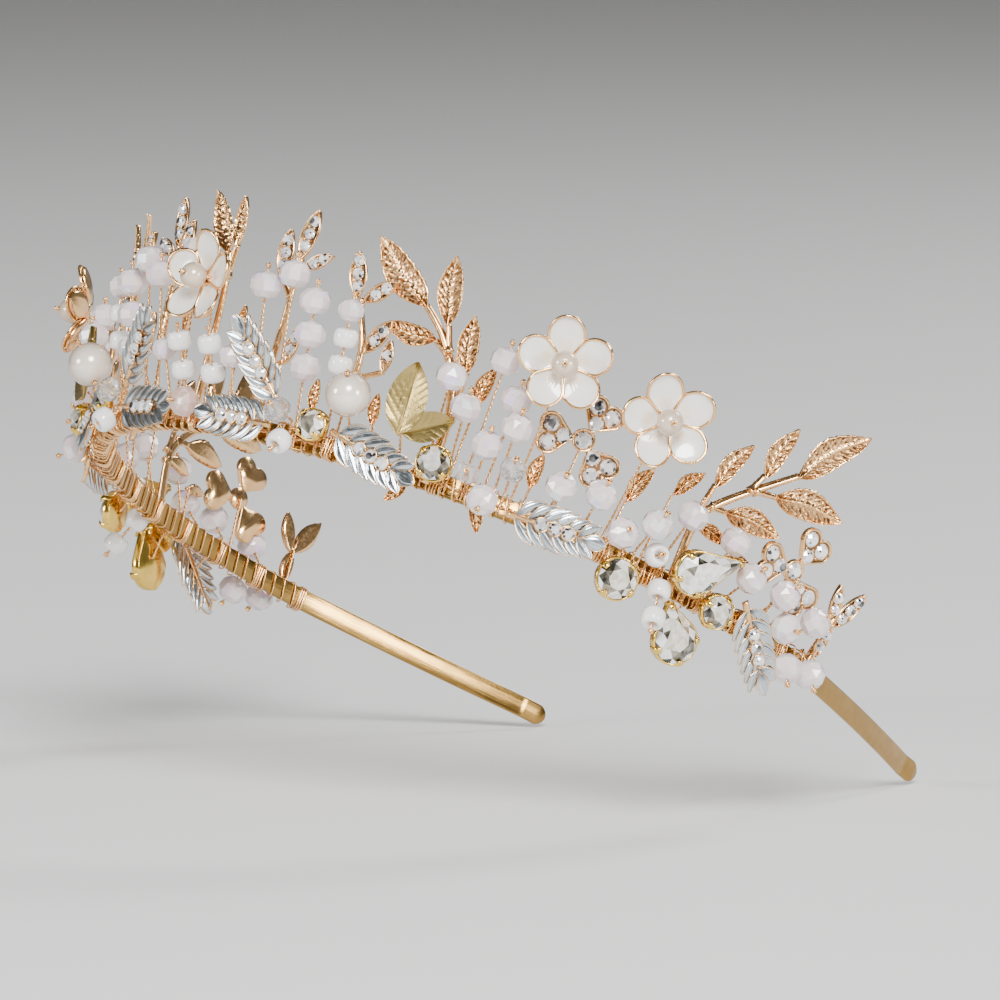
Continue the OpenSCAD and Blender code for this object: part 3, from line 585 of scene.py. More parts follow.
def cut_bead(d, sides):
    """A drilled bead with five rows of flat facets. Its rings of corners come in pairs:
    the middle pair is turned half a step from the others."""
    r = d / 2
    hole, flat = 0.33, 0.86
    rows = [(hole, -flat, 0.5), (0.66 * r, -0.70, 0.5), (0.97 * r, -0.27, 0),
            (0.97 * r, 0.27, 0), (0.66 * r, 0.70, 0.5), (hole, flat, 0.5)]
    a = np.arange(sides)
    rings = []
    for radius, h, shift in rows:
        t = 2 * np.pi * (a + shift) / sides
        rings.append(np.stack([radius * np.cos(t), radius * np.sin(t), np.full(sides, h * r)], -1))
    points = np.concatenate(rings)
    n = (a + 1) % sides

    def row(lower, upper):
        return np.stack([lower * sides + a, lower * sides + n,
                         upper * sides + n, upper * sides + a], -1)

    faces = [
        row(0, 1), row(2, 3), row(4, 5), row(5, 0),
        np.stack([sides + n, 2 * sides + n, sides + a], -1),
        np.stack([2 * sides + n, 2 * sides + a, sides + a], -1),
        np.stack([3 * sides + a, 3 * sides + n, 4 * sides + a], -1),
        np.stack([4 * sides + a, 3 * sides + n, 4 * sides + n], -1),
    ]
    return points, faces


def round_bead(d, hole, sides, rows):
    """A drilled ball: an arc from hole to hole, closed by the hole's wall."""
    r = d / 2
    low = math.asin(min(0.99, hole / r))
    a = np.linspace(np.pi - low, low, rows)
    profile = np.stack([r * np.sin(a), r * np.cos(a)], -1)
    inner = np.stack([[hole * 0.92] * 2, [profile[-1, 1] * 0.9, profile[0, 1] * 0.9]], -1)
    return lathe(np.concatenate([profile, inner]), sides)


def ring_bead(d):
    """A soft ring-shaped bead: a squashed circle carried round the hole."""
    r, hole, tall = d / 2, 0.62, 0.74
    a = np.linspace(-np.pi, np.pi, 14, endpoint=False)
    half = (r - hole) / 2
    high = r * tall * np.sign(np.sin(a)) * np.abs(np.sin(a)) ** 0.85
    return lathe(np.stack([r - half + half * np.cos(a), high], -1), 20)


def cut_cube(d):
    """A cube with a flat facet on every edge and corner."""
    a, b = d / 2, d / 2 * 0.76
    signs = np.array([(x, y, z) for x in (-1, 1) for y in (-1, 1) for z in (-1, 1)], float)
    points = (signs[:, None] * np.array([(a, b, b), (b, a, b), (b, b, a)])).reshape(-1, 3)

    def corner(x, y, z, axis):
        return ((x * 2 + y) * 2 + z) * 3 + axis

    faces, edges = [], []
    loop = [(0, 0), (1, 0), (1, 1), (0, 1)]
    for axis in range(3):
        others = [k for k in range(3) if k != axis]
        for s in (0, 1):
            quad = []
            for p, q in loop:
                bits = [0, 0, 0]
                bits[axis], bits[others[0]], bits[others[1]] = s, p, q
                quad.append(corner(*bits, axis))
            faces.append(quad)
        for p, q in loop:
            ends = []
            for s in (0, 1):
                bits = [0, 0, 0]
                bits[axis], bits[others[0]], bits[others[1]] = s, p, q
                ends.append((corner(*bits, others[0]), corner(*bits, others[1])))
            edges.append([ends[0][0], ends[1][0], ends[1][1], ends[0][1]])
    corners = [[corner(x, y, z, k) for k in range(3)]
               for x in (0, 1) for y in (0, 1) for z in (0, 1)]
    groups = [np.array(faces + edges), np.array(corners)]
    out = []
    for group in groups:
        p = points[group]
        normal = np.cross(p[:, 1] - p[:, 0], p[:, 2] - p[:, 0])
        wrong = (normal * p.mean(1)).sum(1) < 0
        group[wrong] = group[wrong][:, ::-1]
        out.append(group)
    return points, out


def grain():
    """A tiny ball of metal that holds a stone."""
    a = np.linspace(0.15, np.pi - 0.15, 5)
    profile = np.stack([0.26 * np.sin(a), -0.26 * np.cos(a)], -1)
    t = np.linspace(0, 2 * np.pi, 7, endpoint=False)
    rings = np.stack([profile[:, :1] * np.cos(t), profile[:, :1] * np.sin(t),
                      np.broadcast_to(profile[:, 1:], (5, 7))], -1)
    return skin(rings)


def facet_count(surface):
    return sum(len(group) for group in surface[1])


def tones(rng, surface, dark=0.2):
    """One tone a facet, which picks its painted reflection; the share named dark comes out near
    black.
    """
    total = facet_count(surface)
    tone = rng.uniform(0.55, 1, total)
    low = rng.uniform(0, 1, total) < dark
    tone[low] = rng.uniform(0, 0.3, low.sum())
    return tone


def add_stone(build, rng, place, d, height):
    surface = cut_stone(circle(d / 2, 16), 0, height)
    build.add(surface, place, smooth=False, tone=tones(rng, surface))


# ---------------------------------------------------------------- materials

def add_node(tree, kind, links=None, **settings):
    """Adds a node, sets its properties, and links or sets the named inputs."""
    made = tree.nodes.new(kind)
    for key, value in settings.items():
        setattr(made, key, value)
    for key, value in (links or {}).items():
        if isinstance(value, NodeSocket):
            tree.links.new(value, made.inputs[key])
        else:
            made.inputs[key].default_value = value
    return made


def new_group(name, inputs, outputs):
    """An empty shader node group with named sockets, and its input and output nodes."""
    tree = bpy.data.node_groups.new(name, "ShaderNodeTree")
    for label, kind, value in inputs:
        socket = tree.interface.new_socket(label, in_out="INPUT", socket_type=kind)
        socket.default_value = value
    for label, kind in outputs:
        tree.interface.new_socket(label, in_out="OUTPUT", socket_type=kind)
    return tree, tree.nodes.new("NodeGroupInput"), tree.nodes.new("NodeGroupOutput")


def send(tree, end, **values):
    """Links each value to the end's input of that name, an underscore being a space."""
    for label, value in values.items():
        tree.links.new(value, end.inputs[label.replace("_", " ")])


def attribute(tree, name, output="Fac"):
    return add_node(tree, "ShaderNodeAttribute", attribute_name=name).outputs[output]


def object_place(tree):
    return add_node(tree, "ShaderNodeTexCoord").outputs["Object"]


def shaded(tree, tint, shade):
    return add_node(tree, "ShaderNodeVectorMath", {0: tint, 3: shade},
                    operation="SCALE").outputs[0]


def noise(tree, vector, scale, detail=3.0):
    return add_node(tree, "ShaderNodeTexNoise", {
        "Vector": vector, "Scale": scale, "Detail": detail, "Roughness": 0.55,
    }).outputs["Fac"]


def maths(tree, operation, a, b=0.0):
    return add_node(tree, "ShaderNodeMath", {0: a, 1: b}, operation=operation).outputs[0]


def spread(tree, value, low, high, to_low=0.0, to_high=1.0):
    return add_node(tree, "ShaderNodeMapRange", {
        "Value": value, "From Min": low, "From Max": high, "To Min": to_low, "To Max": to_high,
    }).outputs["Result"]


def blend(tree, share, a, b):
    return add_node(tree, "ShaderNodeMix", {0: share, 6: a, 7: b}, data_type="RGBA").outputs[2]


COLOUR, FLOAT = "NodeSocketColor", "NodeSocketFloat"
METAL_OUTPUTS = [("Color", COLOUR), ("Roughness", FLOAT), ("Height", FLOAT)]


def cast_metal_group():
    """Plated casting: hollows marked by pit are blended towards the recess colour as painted
    shade, a slow ripple lightens and darkens the metal at random, and fine grain and the ripple
    give the surface its height and its roughness."""
    tree, start, end = new_group("Cast metal", [
        ("Metal", COLOUR, (1, 1, 1, 1)), ("Recess", COLOUR, (0, 0, 0, 1)),
        ("Darkening", FLOAT, 1.0), ("Polish", FLOAT, 0.2),
        ("Grain size", FLOAT, 1800.0),
    ], METAL_OUTPUTS)
    place = object_place(tree)
    pit = attribute(tree, "pit")
    fine = noise(tree, place, start.outputs["Grain size"])
    slow = noise(tree, place, 260.0, 2.0)
    # Painted shade: the pit mask, scaled by Darkening and the slow ripple, blends the metal
    # towards the recess colour.
    dark = maths(tree, "MULTIPLY", maths(tree, "MULTIPLY", pit, start.outputs["Darkening"]),
                 spread(tree, slow, 0.3, 0.65, 0.7, 1.15))
    dark_clear = add_node(tree, "ShaderNodeClamp", {"Value": dark}).outputs[0]
    shade = spread(tree, slow, 0.35, 0.65, 0.86, 1.1)
    tinted = shaded(tree, start.outputs["Metal"], shade)
    base = blend(tree, dark_clear, tinted, start.outputs["Recess"])
    rough = maths(tree, "ADD", start.outputs["Polish"],
                  maths(tree, "ADD", spread(tree, fine, 0.3, 0.7, -0.05, 0.1),
                        maths(tree, "MULTIPLY", dark_clear, 0.25)))
    height = maths(tree, "ADD", maths(tree, "MULTIPLY", fine, 0.35), slow)
    send(tree, end, Color=base, Roughness=rough, Height=height)
    return tree


def brushed_group():
    """Lines along the piece's own lay: noise stretched a hundredfold along it."""
    tree, start, end = new_group("Brushed lines", [
        ("Metal", COLOUR, (1, 1, 1, 1)), ("Polish", FLOAT, 0.2),
        ("Stretch", "NodeSocketVector", (0.05, 6.0, 6.0)), ("Strength", FLOAT, 0.3),
    ], METAL_OUTPUTS)
    lay = attribute(tree, "lay", "Vector")
    lines_at = add_node(tree, "ShaderNodeVectorMath", {0: lay, 1: start.outputs["Stretch"]},
                        operation="MULTIPLY").outputs[0]
    line = noise(tree, lines_at, 1.0, 2.0)
    worn = noise(tree, lay, 0.35, 3.0)
    lines = maths(tree, "MULTIPLY", line, start.outputs["Strength"])
    shade = spread(tree, maths(tree, "ADD", lines, worn), 0.35, 0.95, 0.78, 1.1)
    tinted = shaded(tree, start.outputs["Metal"], shade)
    rough = maths(tree, "ADD", start.outputs["Polish"], spread(tree, line, 0.3, 0.7, -0.05, 0.12))
    send(tree, end, Color=tinted, Roughness=rough, Height=line)
    return tree


def facet_group():
    """Cut glass with painted reflections: each facet's own tone picks a dark, tinted or bright
    painted reflection.
    """
    tree, start, end = new_group("Painted facet reflections", [
        ("Dark", COLOUR, (0, 0, 0, 1)),
        ("Middle", COLOUR, (0.5, 0.5, 0.5, 1)),
        ("Bright", COLOUR, (1, 1, 1, 1)),
    ], [("Color", COLOUR), ("Tone", FLOAT)])
    tone = attribute(tree, "tone")
    place = object_place(tree)
    cloud = noise(tree, place, 900.0, 1.0)
    moved = maths(tree, "ADD", tone, spread(tree, cloud, 0.3, 0.7, -0.12, 0.12))
    lower = blend(tree, spread(tree, moved, 0.05, 0.5),
                  start.outputs["Dark"], start.outputs["Middle"])
    full = blend(tree, spread(tree, moved, 0.5, 0.85), lower, start.outputs["Bright"])
    send(tree, end, Color=full, Tone=moved)
    return tree


def rainbow_group():
    """A thin rainbow film: a few facets take lilac, rose or ice tints, and each facet's body is
    made lighter or darker by its tone as painted facet light and shade.
    """
    tree, start, end = new_group("Rainbow film and painted facet light", [
        ("Body", COLOUR, (1, 1, 1, 1)), ("Film", FLOAT, 0.4),
    ], [("Color", COLOUR), ("Roughness", FLOAT)])
    tone = attribute(tree, "tone")
    place = object_place(tree)
    cloud = noise(tree, place, 420.0, 1.0)
    mixed = maths(tree, "ADD", maths(tree, "MULTIPLY", tone, 3.7), cloud)
    hue = add_node(tree, "ShaderNodeValToRGB", {"Fac": maths(tree, "FRACT", mixed)})
    ramp = hue.color_ramp
    ramp.elements[0].color, ramp.elements[1].color = (0.78, 0.62, 0.95, 1), (0.70, 0.86, 0.98, 1)
    ramp.elements.new(0.35).color = (0.98, 0.72, 0.86, 1)
    ramp.elements.new(0.7).color = (0.97, 0.93, 0.80, 1)
    share = maths(tree, "MULTIPLY", spread(tree, tone, 0.68, 0.88), start.outputs["Film"])
    # Painted facet light and shade: the body made lighter or darker by each facet's tone.
    body = shaded(tree, start.outputs["Body"], spread(tree, tone, 0.0, 1.0, 0.84, 1.12))
    tinted = blend(tree, share, body, hue.outputs["Color"])
    send(tree, end, Color=tinted, Roughness=spread(tree, cloud, 0.3, 0.7, 0.08, 0.2))
    return tree


GROUPS = {}


def use_group(tree, maker, values):
    if maker not in GROUPS:
        GROUPS[maker] = maker()
    made = tree.nodes.new("ShaderNodeGroup")
    made.node_tree = GROUPS[maker]
    for key, value in values.items():
        made.inputs[key].default_value = value
    return made


def new_material(name, **shader):
    made = bpy.data.materials.new(name)
    made.use_nodes = True
    tree = made.node_tree
    principled = tree.nodes["Principled BSDF"]
    for key, value in shader.items():
        principled.inputs[key.replace("_", " ")].default_value = value
    return made, tree, principled


def bump(tree, principled, height, distance, strength=0.5):
    made = add_node(tree, "ShaderNodeBump",
                    {"Height": height, "Distance": distance, "Strength": strength})
    tree.links.new(made.outputs["Normal"], principled.inputs["Normal"])


def rgba(colour_value, scale=1.0):
    return tuple(c * scale for c in colour_value) + (1.0,)


def cast_material(name, metal, recess, polish, darkening=1.0, grain_size=1800.0):
    made, tree, shader = new_material(name, Metallic=1.0)
    group = use_group(tree, cast_metal_group, {
        "Metal": rgba(metal), "Recess": rgba(recess), "Polish": polish,
        "Darkening": darkening, "Grain size": grain_size})
    send(tree, shader, Base_Color=group.outputs["Color"], Roughness=group.outputs["Roughness"])
    bump(tree, shader, group.outputs["Height"], 0.00006, 0.55)
    return made


def brushed_material(name, metal, polish, stretch, strength):
    made, tree, shader = new_material(name, Metallic=1.0)
    group = use_group(tree, brushed_group, {
        "Metal": rgba(metal), "Polish": polish, "Stretch": stretch, "Strength": strength})
    send(tree, shader, Base_Color=group.outputs["Color"], Roughness=group.outputs["Roughness"])
    bump(tree, shader, group.outputs["Height"], 0.00003, 0.6)
    return made


def crystal_material(name, dark, middle, bright):
    made, tree, shader = new_material(name, Metallic=0.35, Coat_Weight=1.0, Coat_Roughness=0.02)
    group = use_group(tree, facet_group, {"Dark": dark, "Middle": middle, "Bright": bright})
    rough = spread(tree, group.outputs["Tone"], 0, 1, 0.05, 0.16)
    send(tree, shader, Base_Color=group.outputs["Color"], Roughness=rough)
    return made


def glass_bead_material(name, body, film, through, subsurface):
    made, tree, shader = new_material(
        name, Transmission_Weight=through, Subsurface_Weight=subsurface,
        Subsurface_Radius=(1.0, 0.85, 0.8), Subsurface_Scale=0.0012,
        Coat_Weight=0.6, Coat_Roughness=0.04, IOR=1.52)
    group = use_group(tree, rainbow_group, {"Body": rgba(body), "Film": film})
    send(tree, shader, Base_Color=group.outputs["Color"], Roughness=group.outputs["Roughness"])
    return made


def pearl_material(name, body):
    """Nacre: the body colour shifts warm and cool in slow clouds under a clear coat, and turns
    dark brown towards the edges seen side-on: painted shade.
    """
    made, tree, shader = new_material(name, Coat_Weight=0.8, Coat_Roughness=0.06, Metallic=0.15)
    place = object_place(tree)
    cloud = noise(tree, place, 260.0, 3.0)
    warm = blend(tree, spread(tree, cloud, 0.35, 0.65), rgba(body), rgba(body, 0.93))
    # Painted shade: the body darkens towards dark brown where the surface turns away from the
    # view.
    rim = add_node(tree, "ShaderNodeLayerWeight", {"Blend": 0.6}).outputs["Facing"]
    lit = blend(tree, maths(tree, "MULTIPLY", rim, 0.9), warm, (0.42, 0.29, 0.20, 1))
    send(tree, shader, Base_Color=lit, Roughness=spread(tree, cloud, 0.3, 0.7, 0.16, 0.26))
    bump(tree, shader, noise(tree, place, 1500.0), 0.00002, 0.3)
    return made


def enamel_material(name, body, line):
    """Poured enamel: slow clouds in its colour, and fine gold rays near the flower's
    middle, drawn from the petal's own lay."""
    made, tree, shader = new_material(name, Coat_Weight=1.0, Coat_Roughness=0.05,
                                      Subsurface_Weight=0.1, Subsurface_Scale=0.0008)
    place = object_place(tree)
    pit = attribute(tree, "pit")
    cloud = noise(tree, place, 300.0, 2.0)
    pale = blend(tree, spread(tree, cloud, 0.35, 0.65), rgba(body), rgba(body, 0.94))
    send(tree, shader, Base_Color=blend(tree, pit, pale, rgba(line)),
         Roughness=spread(tree, cloud, 0.3, 0.7, 0.14, 0.26))
    bump(tree, shader, cloud, 0.00008, 0.4)
    return made


def make_materials():
    colours = bpy.context.scene.tiara_colours
    rose, recess = colours.rose_gold, colours.recess
    # Painted reflections of the small stones: near-black, grey and white facets.
    painted_reflection_greys = ((0.015, 0.015, 0.017, 1), (0.5, 0.5, 0.52, 1), (1.0, 1.0, 1.0, 1))
    MATERIALS.update({
        "band": brushed_material("band_gold", colours.band_gold, 0.13, (0.05, 5, 5), 0.3),
        # The cast finishes darken their marked hollows towards the recess colour: painted shade.
        "rose": cast_material("rose_gold_casting", rose, recess, 0.15),
        "wire": cast_material("rose_gold_wire", rose, recess, 0.2, 0.5, 2600.0),
        "claw": cast_material("claw_gold", colours.claw_gold, recess, 0.14, 0.4),
        "antique": brushed_material("antique_gold", colours.antique_gold, 0.3, (0.25, 9, 9), 0.5),
        # The silver's marked grooves and lobe feet are darkened towards near black: painted shade.
        "silver": cast_material("silver_enamel", colours.silver, (0.05, 0.055, 0.06), 0.15,
                                grain_size=900.0),
        "enamel": enamel_material("ivory_enamel", colours.enamel, rose),
        "pearl": pearl_material("pearl_lustre", colours.pearl),
        "small_pearl": pearl_material("small_pearl_lustre", colours.small_pearl),
        "opal": glass_bead_material("milky_glass", colours.opal, 0.9, 0.15, 0.3),
        "white": glass_bead_material("white_glass", colours.white, 0.0, 0.0, 0.4),
        "pink": glass_bead_material("rose_glass", colours.pink, 0.3, 0.45, 0.1),
        "clear": glass_bead_material("clear_glass", (0.97, 0.95, 0.94), 0.25, 0.85, 0.0),
        "stone": crystal_material("small_stones", *painted_reflection_greys),
        # Painted reflections of the claw crystals: dark, foil-yellow and white facets.
        "crystal": crystal_material("claw_crystals", (0.03, 0.028, 0.02, 1),
                                    (0.55, 0.50, 0.38, 1), (1.0, 1.0, 0.99, 1)),
    })


# ---------------------------------------------------------------- operators

class TiaraOperator(Operator):
    """Base of the tiara's operators, each of which has a build(size) that makes its pieces"""
    bl_options = {"REGISTER", "UNDO"}

    def execute(self, context):
        if not MATERIALS:
            make_materials()
        self.build(sizes())
        return {"FINISHED"}


def band_line(radius):
    """The band's curve from tip to tip: an arc, two slightly curved arms and flared tips."""
    step = 0.6
    arc = np.radians(np.linspace(0, ARC_HALF, int(radius * math.radians(ARC_HALF) / step)))
    bend = radius - BAND_R
    front = np.stack([radius * np.sin(arc), -radius * np.cos(arc)], -1)
    b = np.linspace(0, ARM_LEN / ARM_R, int(ARM_LEN / step))[1:]
    arm = np.stack([(ARM_R + bend) * np.sin(b), ARM_R - BAND_R - (ARM_R + bend) * np.cos(b)], -1)
    end = b[-1] - math.radians(TIP_FLARE)
    t = TIP_LEN * (1 - (1 - np.linspace(0, 1, 22)[1:]) ** 2)
    tip = arm[-1] + t[:, None] * np.array([math.cos(end), math.sin(end)])
    turn = turn_z(ARC_HALF)[:2, :2]
    half = np.concatenate([front, np.concatenate([arm, tip]) @ turn.T])
    whole = np.concatenate([half[:0:-1] * [-1, 1], half])
    return np.c_[whole, np.zeros(len(whole))]


def rounded_box(wide, deep, corner, steps=4):
    """A rectangle with round corners, counter-clockwise, its first axis wide."""
    a = np.linspace(0, np.pi / 2, steps)
    quarter = corner * np.stack([np.cos(a), np.sin(a)], -1)
    corners = [(1, 1), (-1, 1), (-1, -1), (1, -1)]
    return np.concatenate([
        np.array([sx * (wide / 2 - corner), sy * (deep / 2 - corner)])
        + quarter @ turn_z(90 * i)[:2, :2].T
        for i, (sx, sy) in enumerate(corners)])


class TIARA_OT_band(TiaraOperator):
    """Make the springy band, a round-edged strip carried along its curve"""
    bl_idname = "tiara.band"
    bl_label = "Band"

    def build(self, size):
        path = band_line(BAND_R + BAND_T / 2)
        reach = np.r_[0, np.cumsum(np.linalg.norm(np.diff(path, axis=0), axis=1))]
        from_end = np.minimum(reach, reach[-1] - reach)
        narrow = np.sqrt(np.clip(1 - (1 - np.clip(from_end / (BAND_W / 2), 0.02, 1)) ** 2, 0, 1))
        profile = rounded_box(BAND_W, BAND_T, 0.24)
        points, faces = sweep(path, profile, (0, 0, 1))
        rings = points.reshape(len(path), -1, 3)
        rings[..., 2] *= narrow[:, None]
        edge = np.r_[0, np.cumsum(np.linalg.norm(np.diff(profile, axis=0), axis=1))]
        lay = np.stack(np.broadcast_arrays(reach[:, None], edge[None], 0.0), -1).reshape(-1, 3)
        build = Build()
        build.add((rings.reshape(-1, 3), faces), matrix(turn_x(-WEAR_TILT)), lay=lay)
        build.piece("band_strip", "band", "band")


class TIARA_OT_binding(TiaraOperator):
    """Make the twisted rail wire and the wire bound round the band"""
    bl_idname = "tiara.binding"
    bl_label = "Rail and binding wires"

    def lacing(self, loop, deep, last):
        """A fine wire wound round the band from end to end: the binding's loop, gone round
        once a pitch, with a slow wave in how loosely it lies."""
        pitch = 2.5
        turns = int(2 * last * STATION_LEN / pitch)
        t = np.linspace(0, turns, turns * 20)
        reach = np.r_[0, np.cumsum(np.linalg.norm(np.diff(loop, axis=0), axis=1))]
        at = (t % 1) * reach[-1]
        high, out = np.interp(at, reach, loop[:, 0]), np.interp(at, reach, loop[:, 1])
        loose = 1.05 + 0.05 * np.sin(t * 2.3)
        bearing = (2 * t / turns - 1) * last * STATION_LEN / BAND_OUT
        radius = BAND_OUT + out * loose + deep / 2 - BAND_T - GAP
        path = np.stack([radius * np.sin(bearing), -radius * np.cos(bearing), high * loose], -1)
        return tube(path, 0.15, (0, 0, 1), 5)

    def build(self, size):
        worn = matrix(turn_x(-WEAR_TILT))
        sweep_end = (GARLAND_END + 1) * STATION_LEN / BAND_OUT
        radius = BAND_OUT + GAP + RAIL_D / 2
        a = np.linspace(-sweep_end, sweep_end, 760)
        path = np.stack([radius * np.sin(a), -radius * np.cos(a), 0 * a], -1)
        rail = Build()
        for strand in twisted_pair(path, RAIL_D, (0, 0, 1), RAIL_TWIST, 6):
            rail.add(strand, worn)
        rail.piece("rail_twist", "rail_wire", "wire")

        wrap = size["wrap_d"]
        deep = BAND_T + RAIL_D + LAYER_T + 4 * GAP
        loop = rounded_box(BAND_W + 2 * GAP + wrap, deep + wrap, 0.7, 5)
        count = len(loop)
        line = np.stack([0 * loop[:, 0], loop[:, 0], loop[:, 1] + deep / 2 - BAND_T - GAP], -1)
        coils = Build()
        last = (GARLAND_END + 1) // WRAP_STEP * WRAP_STEP
        rng = np.random.default_rng(3)
        gone = np.linspace(-1, 1, count)
        for station in range(-last, last + 1, WRAP_STEP):
            for turn in (-1, 0, 1):
                slant = rng.uniform(-0.12, 0.12)
                path = line + (slant * gone * np.sign(-gone))[:, None] * [1, 0, 0]
                coils.add(tube(path, wrap / 2, (1, 0, 0), 6, closed=True),
                          on_band(station + turn * WRAP_PITCH, lean=0))
        coils.add(self.lacing(loop, deep, last), worn)
        coils.piece("binding_coils", "binding_wire", "wire")


def add_stem(build, size, station, height, off, side=1, bead=None):
    """A foot bound to the band and a straight run to the ornament, both one twisted pair.
    With a bead, the run goes on through it and ends in a little coil."""
    top = np.array([0, FOOT_TOP, STEM_OFF])
    end = np.array([0, height, off], float)
    ahead = (end - top) / np.linalg.norm(end - top)
    if bead:
        end = end + ahead * (bead / 2 + 0.05 + size["knot_d"] / 2)
    path = resampled(np.array([[0, FOOT_LOW, STEM_OFF], top, end]), 0.3)
    place = on_band(station, side=side)
    for strand in twisted_pair(path, size["stem_d"], (1, 0, 0), STEM_TWIST):
        build.add(strand, place)
    if bead:
        r, wire = size["knot_d"] / 2 * 0.66, size["knot_d"] / 2 * 0.34
        t = np.linspace(0, 1, 26)
        across = np.array([1.0, 0, 0])
        third = np.cross(ahead, across)
        a = 2 * np.pi * 2.4 * t
        coil = (end + np.outer((t - 0.5) * 2 * (size["knot_d"] / 2 - wire), ahead)
                + r * (np.outer(np.cos(a), across) + np.outer(np.sin(a), third)))
        build.add(tube(coil, wire, ahead, 5), place)


def strings(size):
    """Every string of beads on one side: station, stand-off, heights, bead size, kind."""
    rows = [(*s, size["opal_d"], "opal") for s in OPAL_STRINGS]
    rows += [(*s, size["small_opal_d"], "opal") for s in SMALL_OPAL_STRINGS]
    rows += [(*s, size["seed_d"], "white") for s in WHITE_STRINGS]
    rows += [(*s, size["clear_d"], "clear") for s in CLEAR_STRINGS]
    return rows


def centre_strings(size):
    return ([(*s, size["opal_d"], "opal") for s in OPAL_CENTRE_STRINGS]
            + [(*s, size["seed_d"], "white") for s in WHITE_CENTRE_STRINGS])


class TIARA_OT_stems(TiaraOperator):
    """Make the twisted stems that carry beads, ornaments, flowers and pearls"""
    bl_idname = "tiara.stems"
    bl_label = "Twisted stems"

    def build(self, size):
        beads = Build()
        for side in SIDES.values():
            for station, off, heights, d, _ in strings(size):
                add_stem(beads, size, station, heights[-1], off, side, d)
            add_stem(beads, size, *CUBE_PLACE, side, size["cube_d"] * 1.4)
        for station, off, heights, d, _ in centre_strings(size):
            add_stem(beads, size, station, heights[-1], off, 1, d)
        beads.piece("bead_stem_wires", "bead_stems", "wire")

        clear = size["stem_d"] / 2 + GAP
        others = Build()
        for side in SIDES.values():
            for station, height, off, _ in ROUND_PLACES:
                add_stem(others, size, station, max(min(height, 2), height - 1), off - clear, side)
            backs = [p[:3] for p in SILVER_PLACES + PEAR_PLACES + SPRIGS]
            backs += [(s, h, SPRAY_OFF) for s, h in TREFOILS.values()]
            backs += [(at, stalk[1][1], SPRAY_OFF) for at, stalk, _, _ in SPRAYS]
            backs += [(ANTIQUE_AT, ANTIQUE_LEAVES[0][1] + 1, ANTIQUE_OFF)]
            for station, height, off in backs:
                add_stem(others, size, station, height, off - clear, side)
        others.piece("ornament_stem_wires", "ornament_stems", "wire")

        pins = Build()
        reach = CUP_T + ENAMEL_T + 0.1 + size["flower_pearl_d"]
        for station, height, off, _, side in FLOWERS.values():
            add_stem(pins, size, station, height, off - PIN_BACK, side)
            place = on_band(station, height, off, side)
            z = np.linspace(-PIN_BACK, reach + 0.2, 24)
            pin = np.stack([0 * z, 0 * z, z], -1)
            for strand in twisted_pair(pin, size["stem_d"], (1, 0, 0), STEM_TWIST):
                pins.add(strand, place)
            t = np.linspace(0, 1, 40)
            a = 2 * np.pi * 3.2 * t
            coil = np.stack([0.36 * np.cos(a), 0.36 * np.sin(a), reach + 0.1 + 0.75 * t], -1)
            pins.add(tube(coil, 0.17, (0, 0, 1), 6), place)
        pins.piece("flower_pin_wires", "flower_pins", "wire")

        for label, side in SIDES.items():
            pearl = Build()
            add_stem(pearl, size, *PEARL_PLACE, side, size["pearl_d"])
            pearl.piece(f"pearl_wire_{label}", f"large_pearl_wire_{label}", "wire")
        centre = Build()
        add_stem(centre, size, *CENTRE_BEAD_PLACE, 1, size["centre_bead_d"])
        centre.piece("centre_wire", "centre_bead_wire", "wire")


def add_branch(build, place, stalk, twigs, leaves):
    add_stalk(build, place, stalk, 1.9, 1.0, 0.3, 0.2)
    for twig in twigs:
        add_stalk(build, place, twig, 1.25, 0.9, 0.1, 0.7)
    for x, y, direction, span in leaves:
        surface, pit = cast_leaf(span + LEAF_ROOT, span * LEAF_RATIO, CAST_T)
        at = place @ turned(direction, x, y) @ turned(0, -LEAF_ROOT)
        build.add(surface, at, pit=pit)


class TIARA_OT_branches(TiaraOperator):
    """Make the cast rose-gold branches and the loose leaves, with rims, ribs and veins"""
    bl_idname = "tiara.branches"
    bl_label = "Cast branches"

    def build(self, size):
        for label, side in SIDES.items():
            for which in ("inner", "outer"):
                at, stalk, twigs, leaves = BRANCHES[which]
                build = Build()
                add_branch(build, on_band(at, 0, CAST_OFF, side), stalk, twigs, leaves)
                build.piece(f"{which}_leaves_{label}", f"{which}_branch_{label}", "rose")
            loose = Build()
            for station, height, off, direction, span in SPRIGS:
                place = on_band(station, height, off, side) @ turned(direction)
                surface, pit = cast_leaf(span, span * LEAF_RATIO, CAST_T * 0.75)
                loose.add(surface, place, pit=pit)
            loose.piece(f"loose_leaves_{label}", f"leaf_sprigs_{label}", "rose")
            broad = Build()
            for x, y, direction, span in ANTIQUE_LEAVES:
                surface, pit = antique_leaf(span + LEAF_ROOT, span * ANTIQUE_RATIO, CAST_T)
                place = on_band(ANTIQUE_AT, 0, ANTIQUE_OFF, side) @ turned(direction, x, y)
                broad.add(surface, place @ turned(0, -LEAF_ROOT), pit=pit)
            broad.piece(f"broad_leaves_{label}", f"antique_leaves_{label}", "antique")
        at, stalk, twigs, leaves = BRANCHES["centre"]
        build = Build()
        add_branch(build, on_band(at, 0, CAST_OFF), stalk, twigs, leaves)
        build.piece("centre_leaves", "centre_sprig", "rose")


def even_steps(closed, count):
    """So many points at even steps round a closed line whose last point is its first."""
    reach = np.r_[0, np.cumsum(np.linalg.norm(np.diff(closed, axis=0), axis=1))]
    even = np.linspace(0, reach[-1], count, endpoint=False)
    return np.stack([np.interp(even, reach, closed[:, i]) for i in (0, 1)], -1)


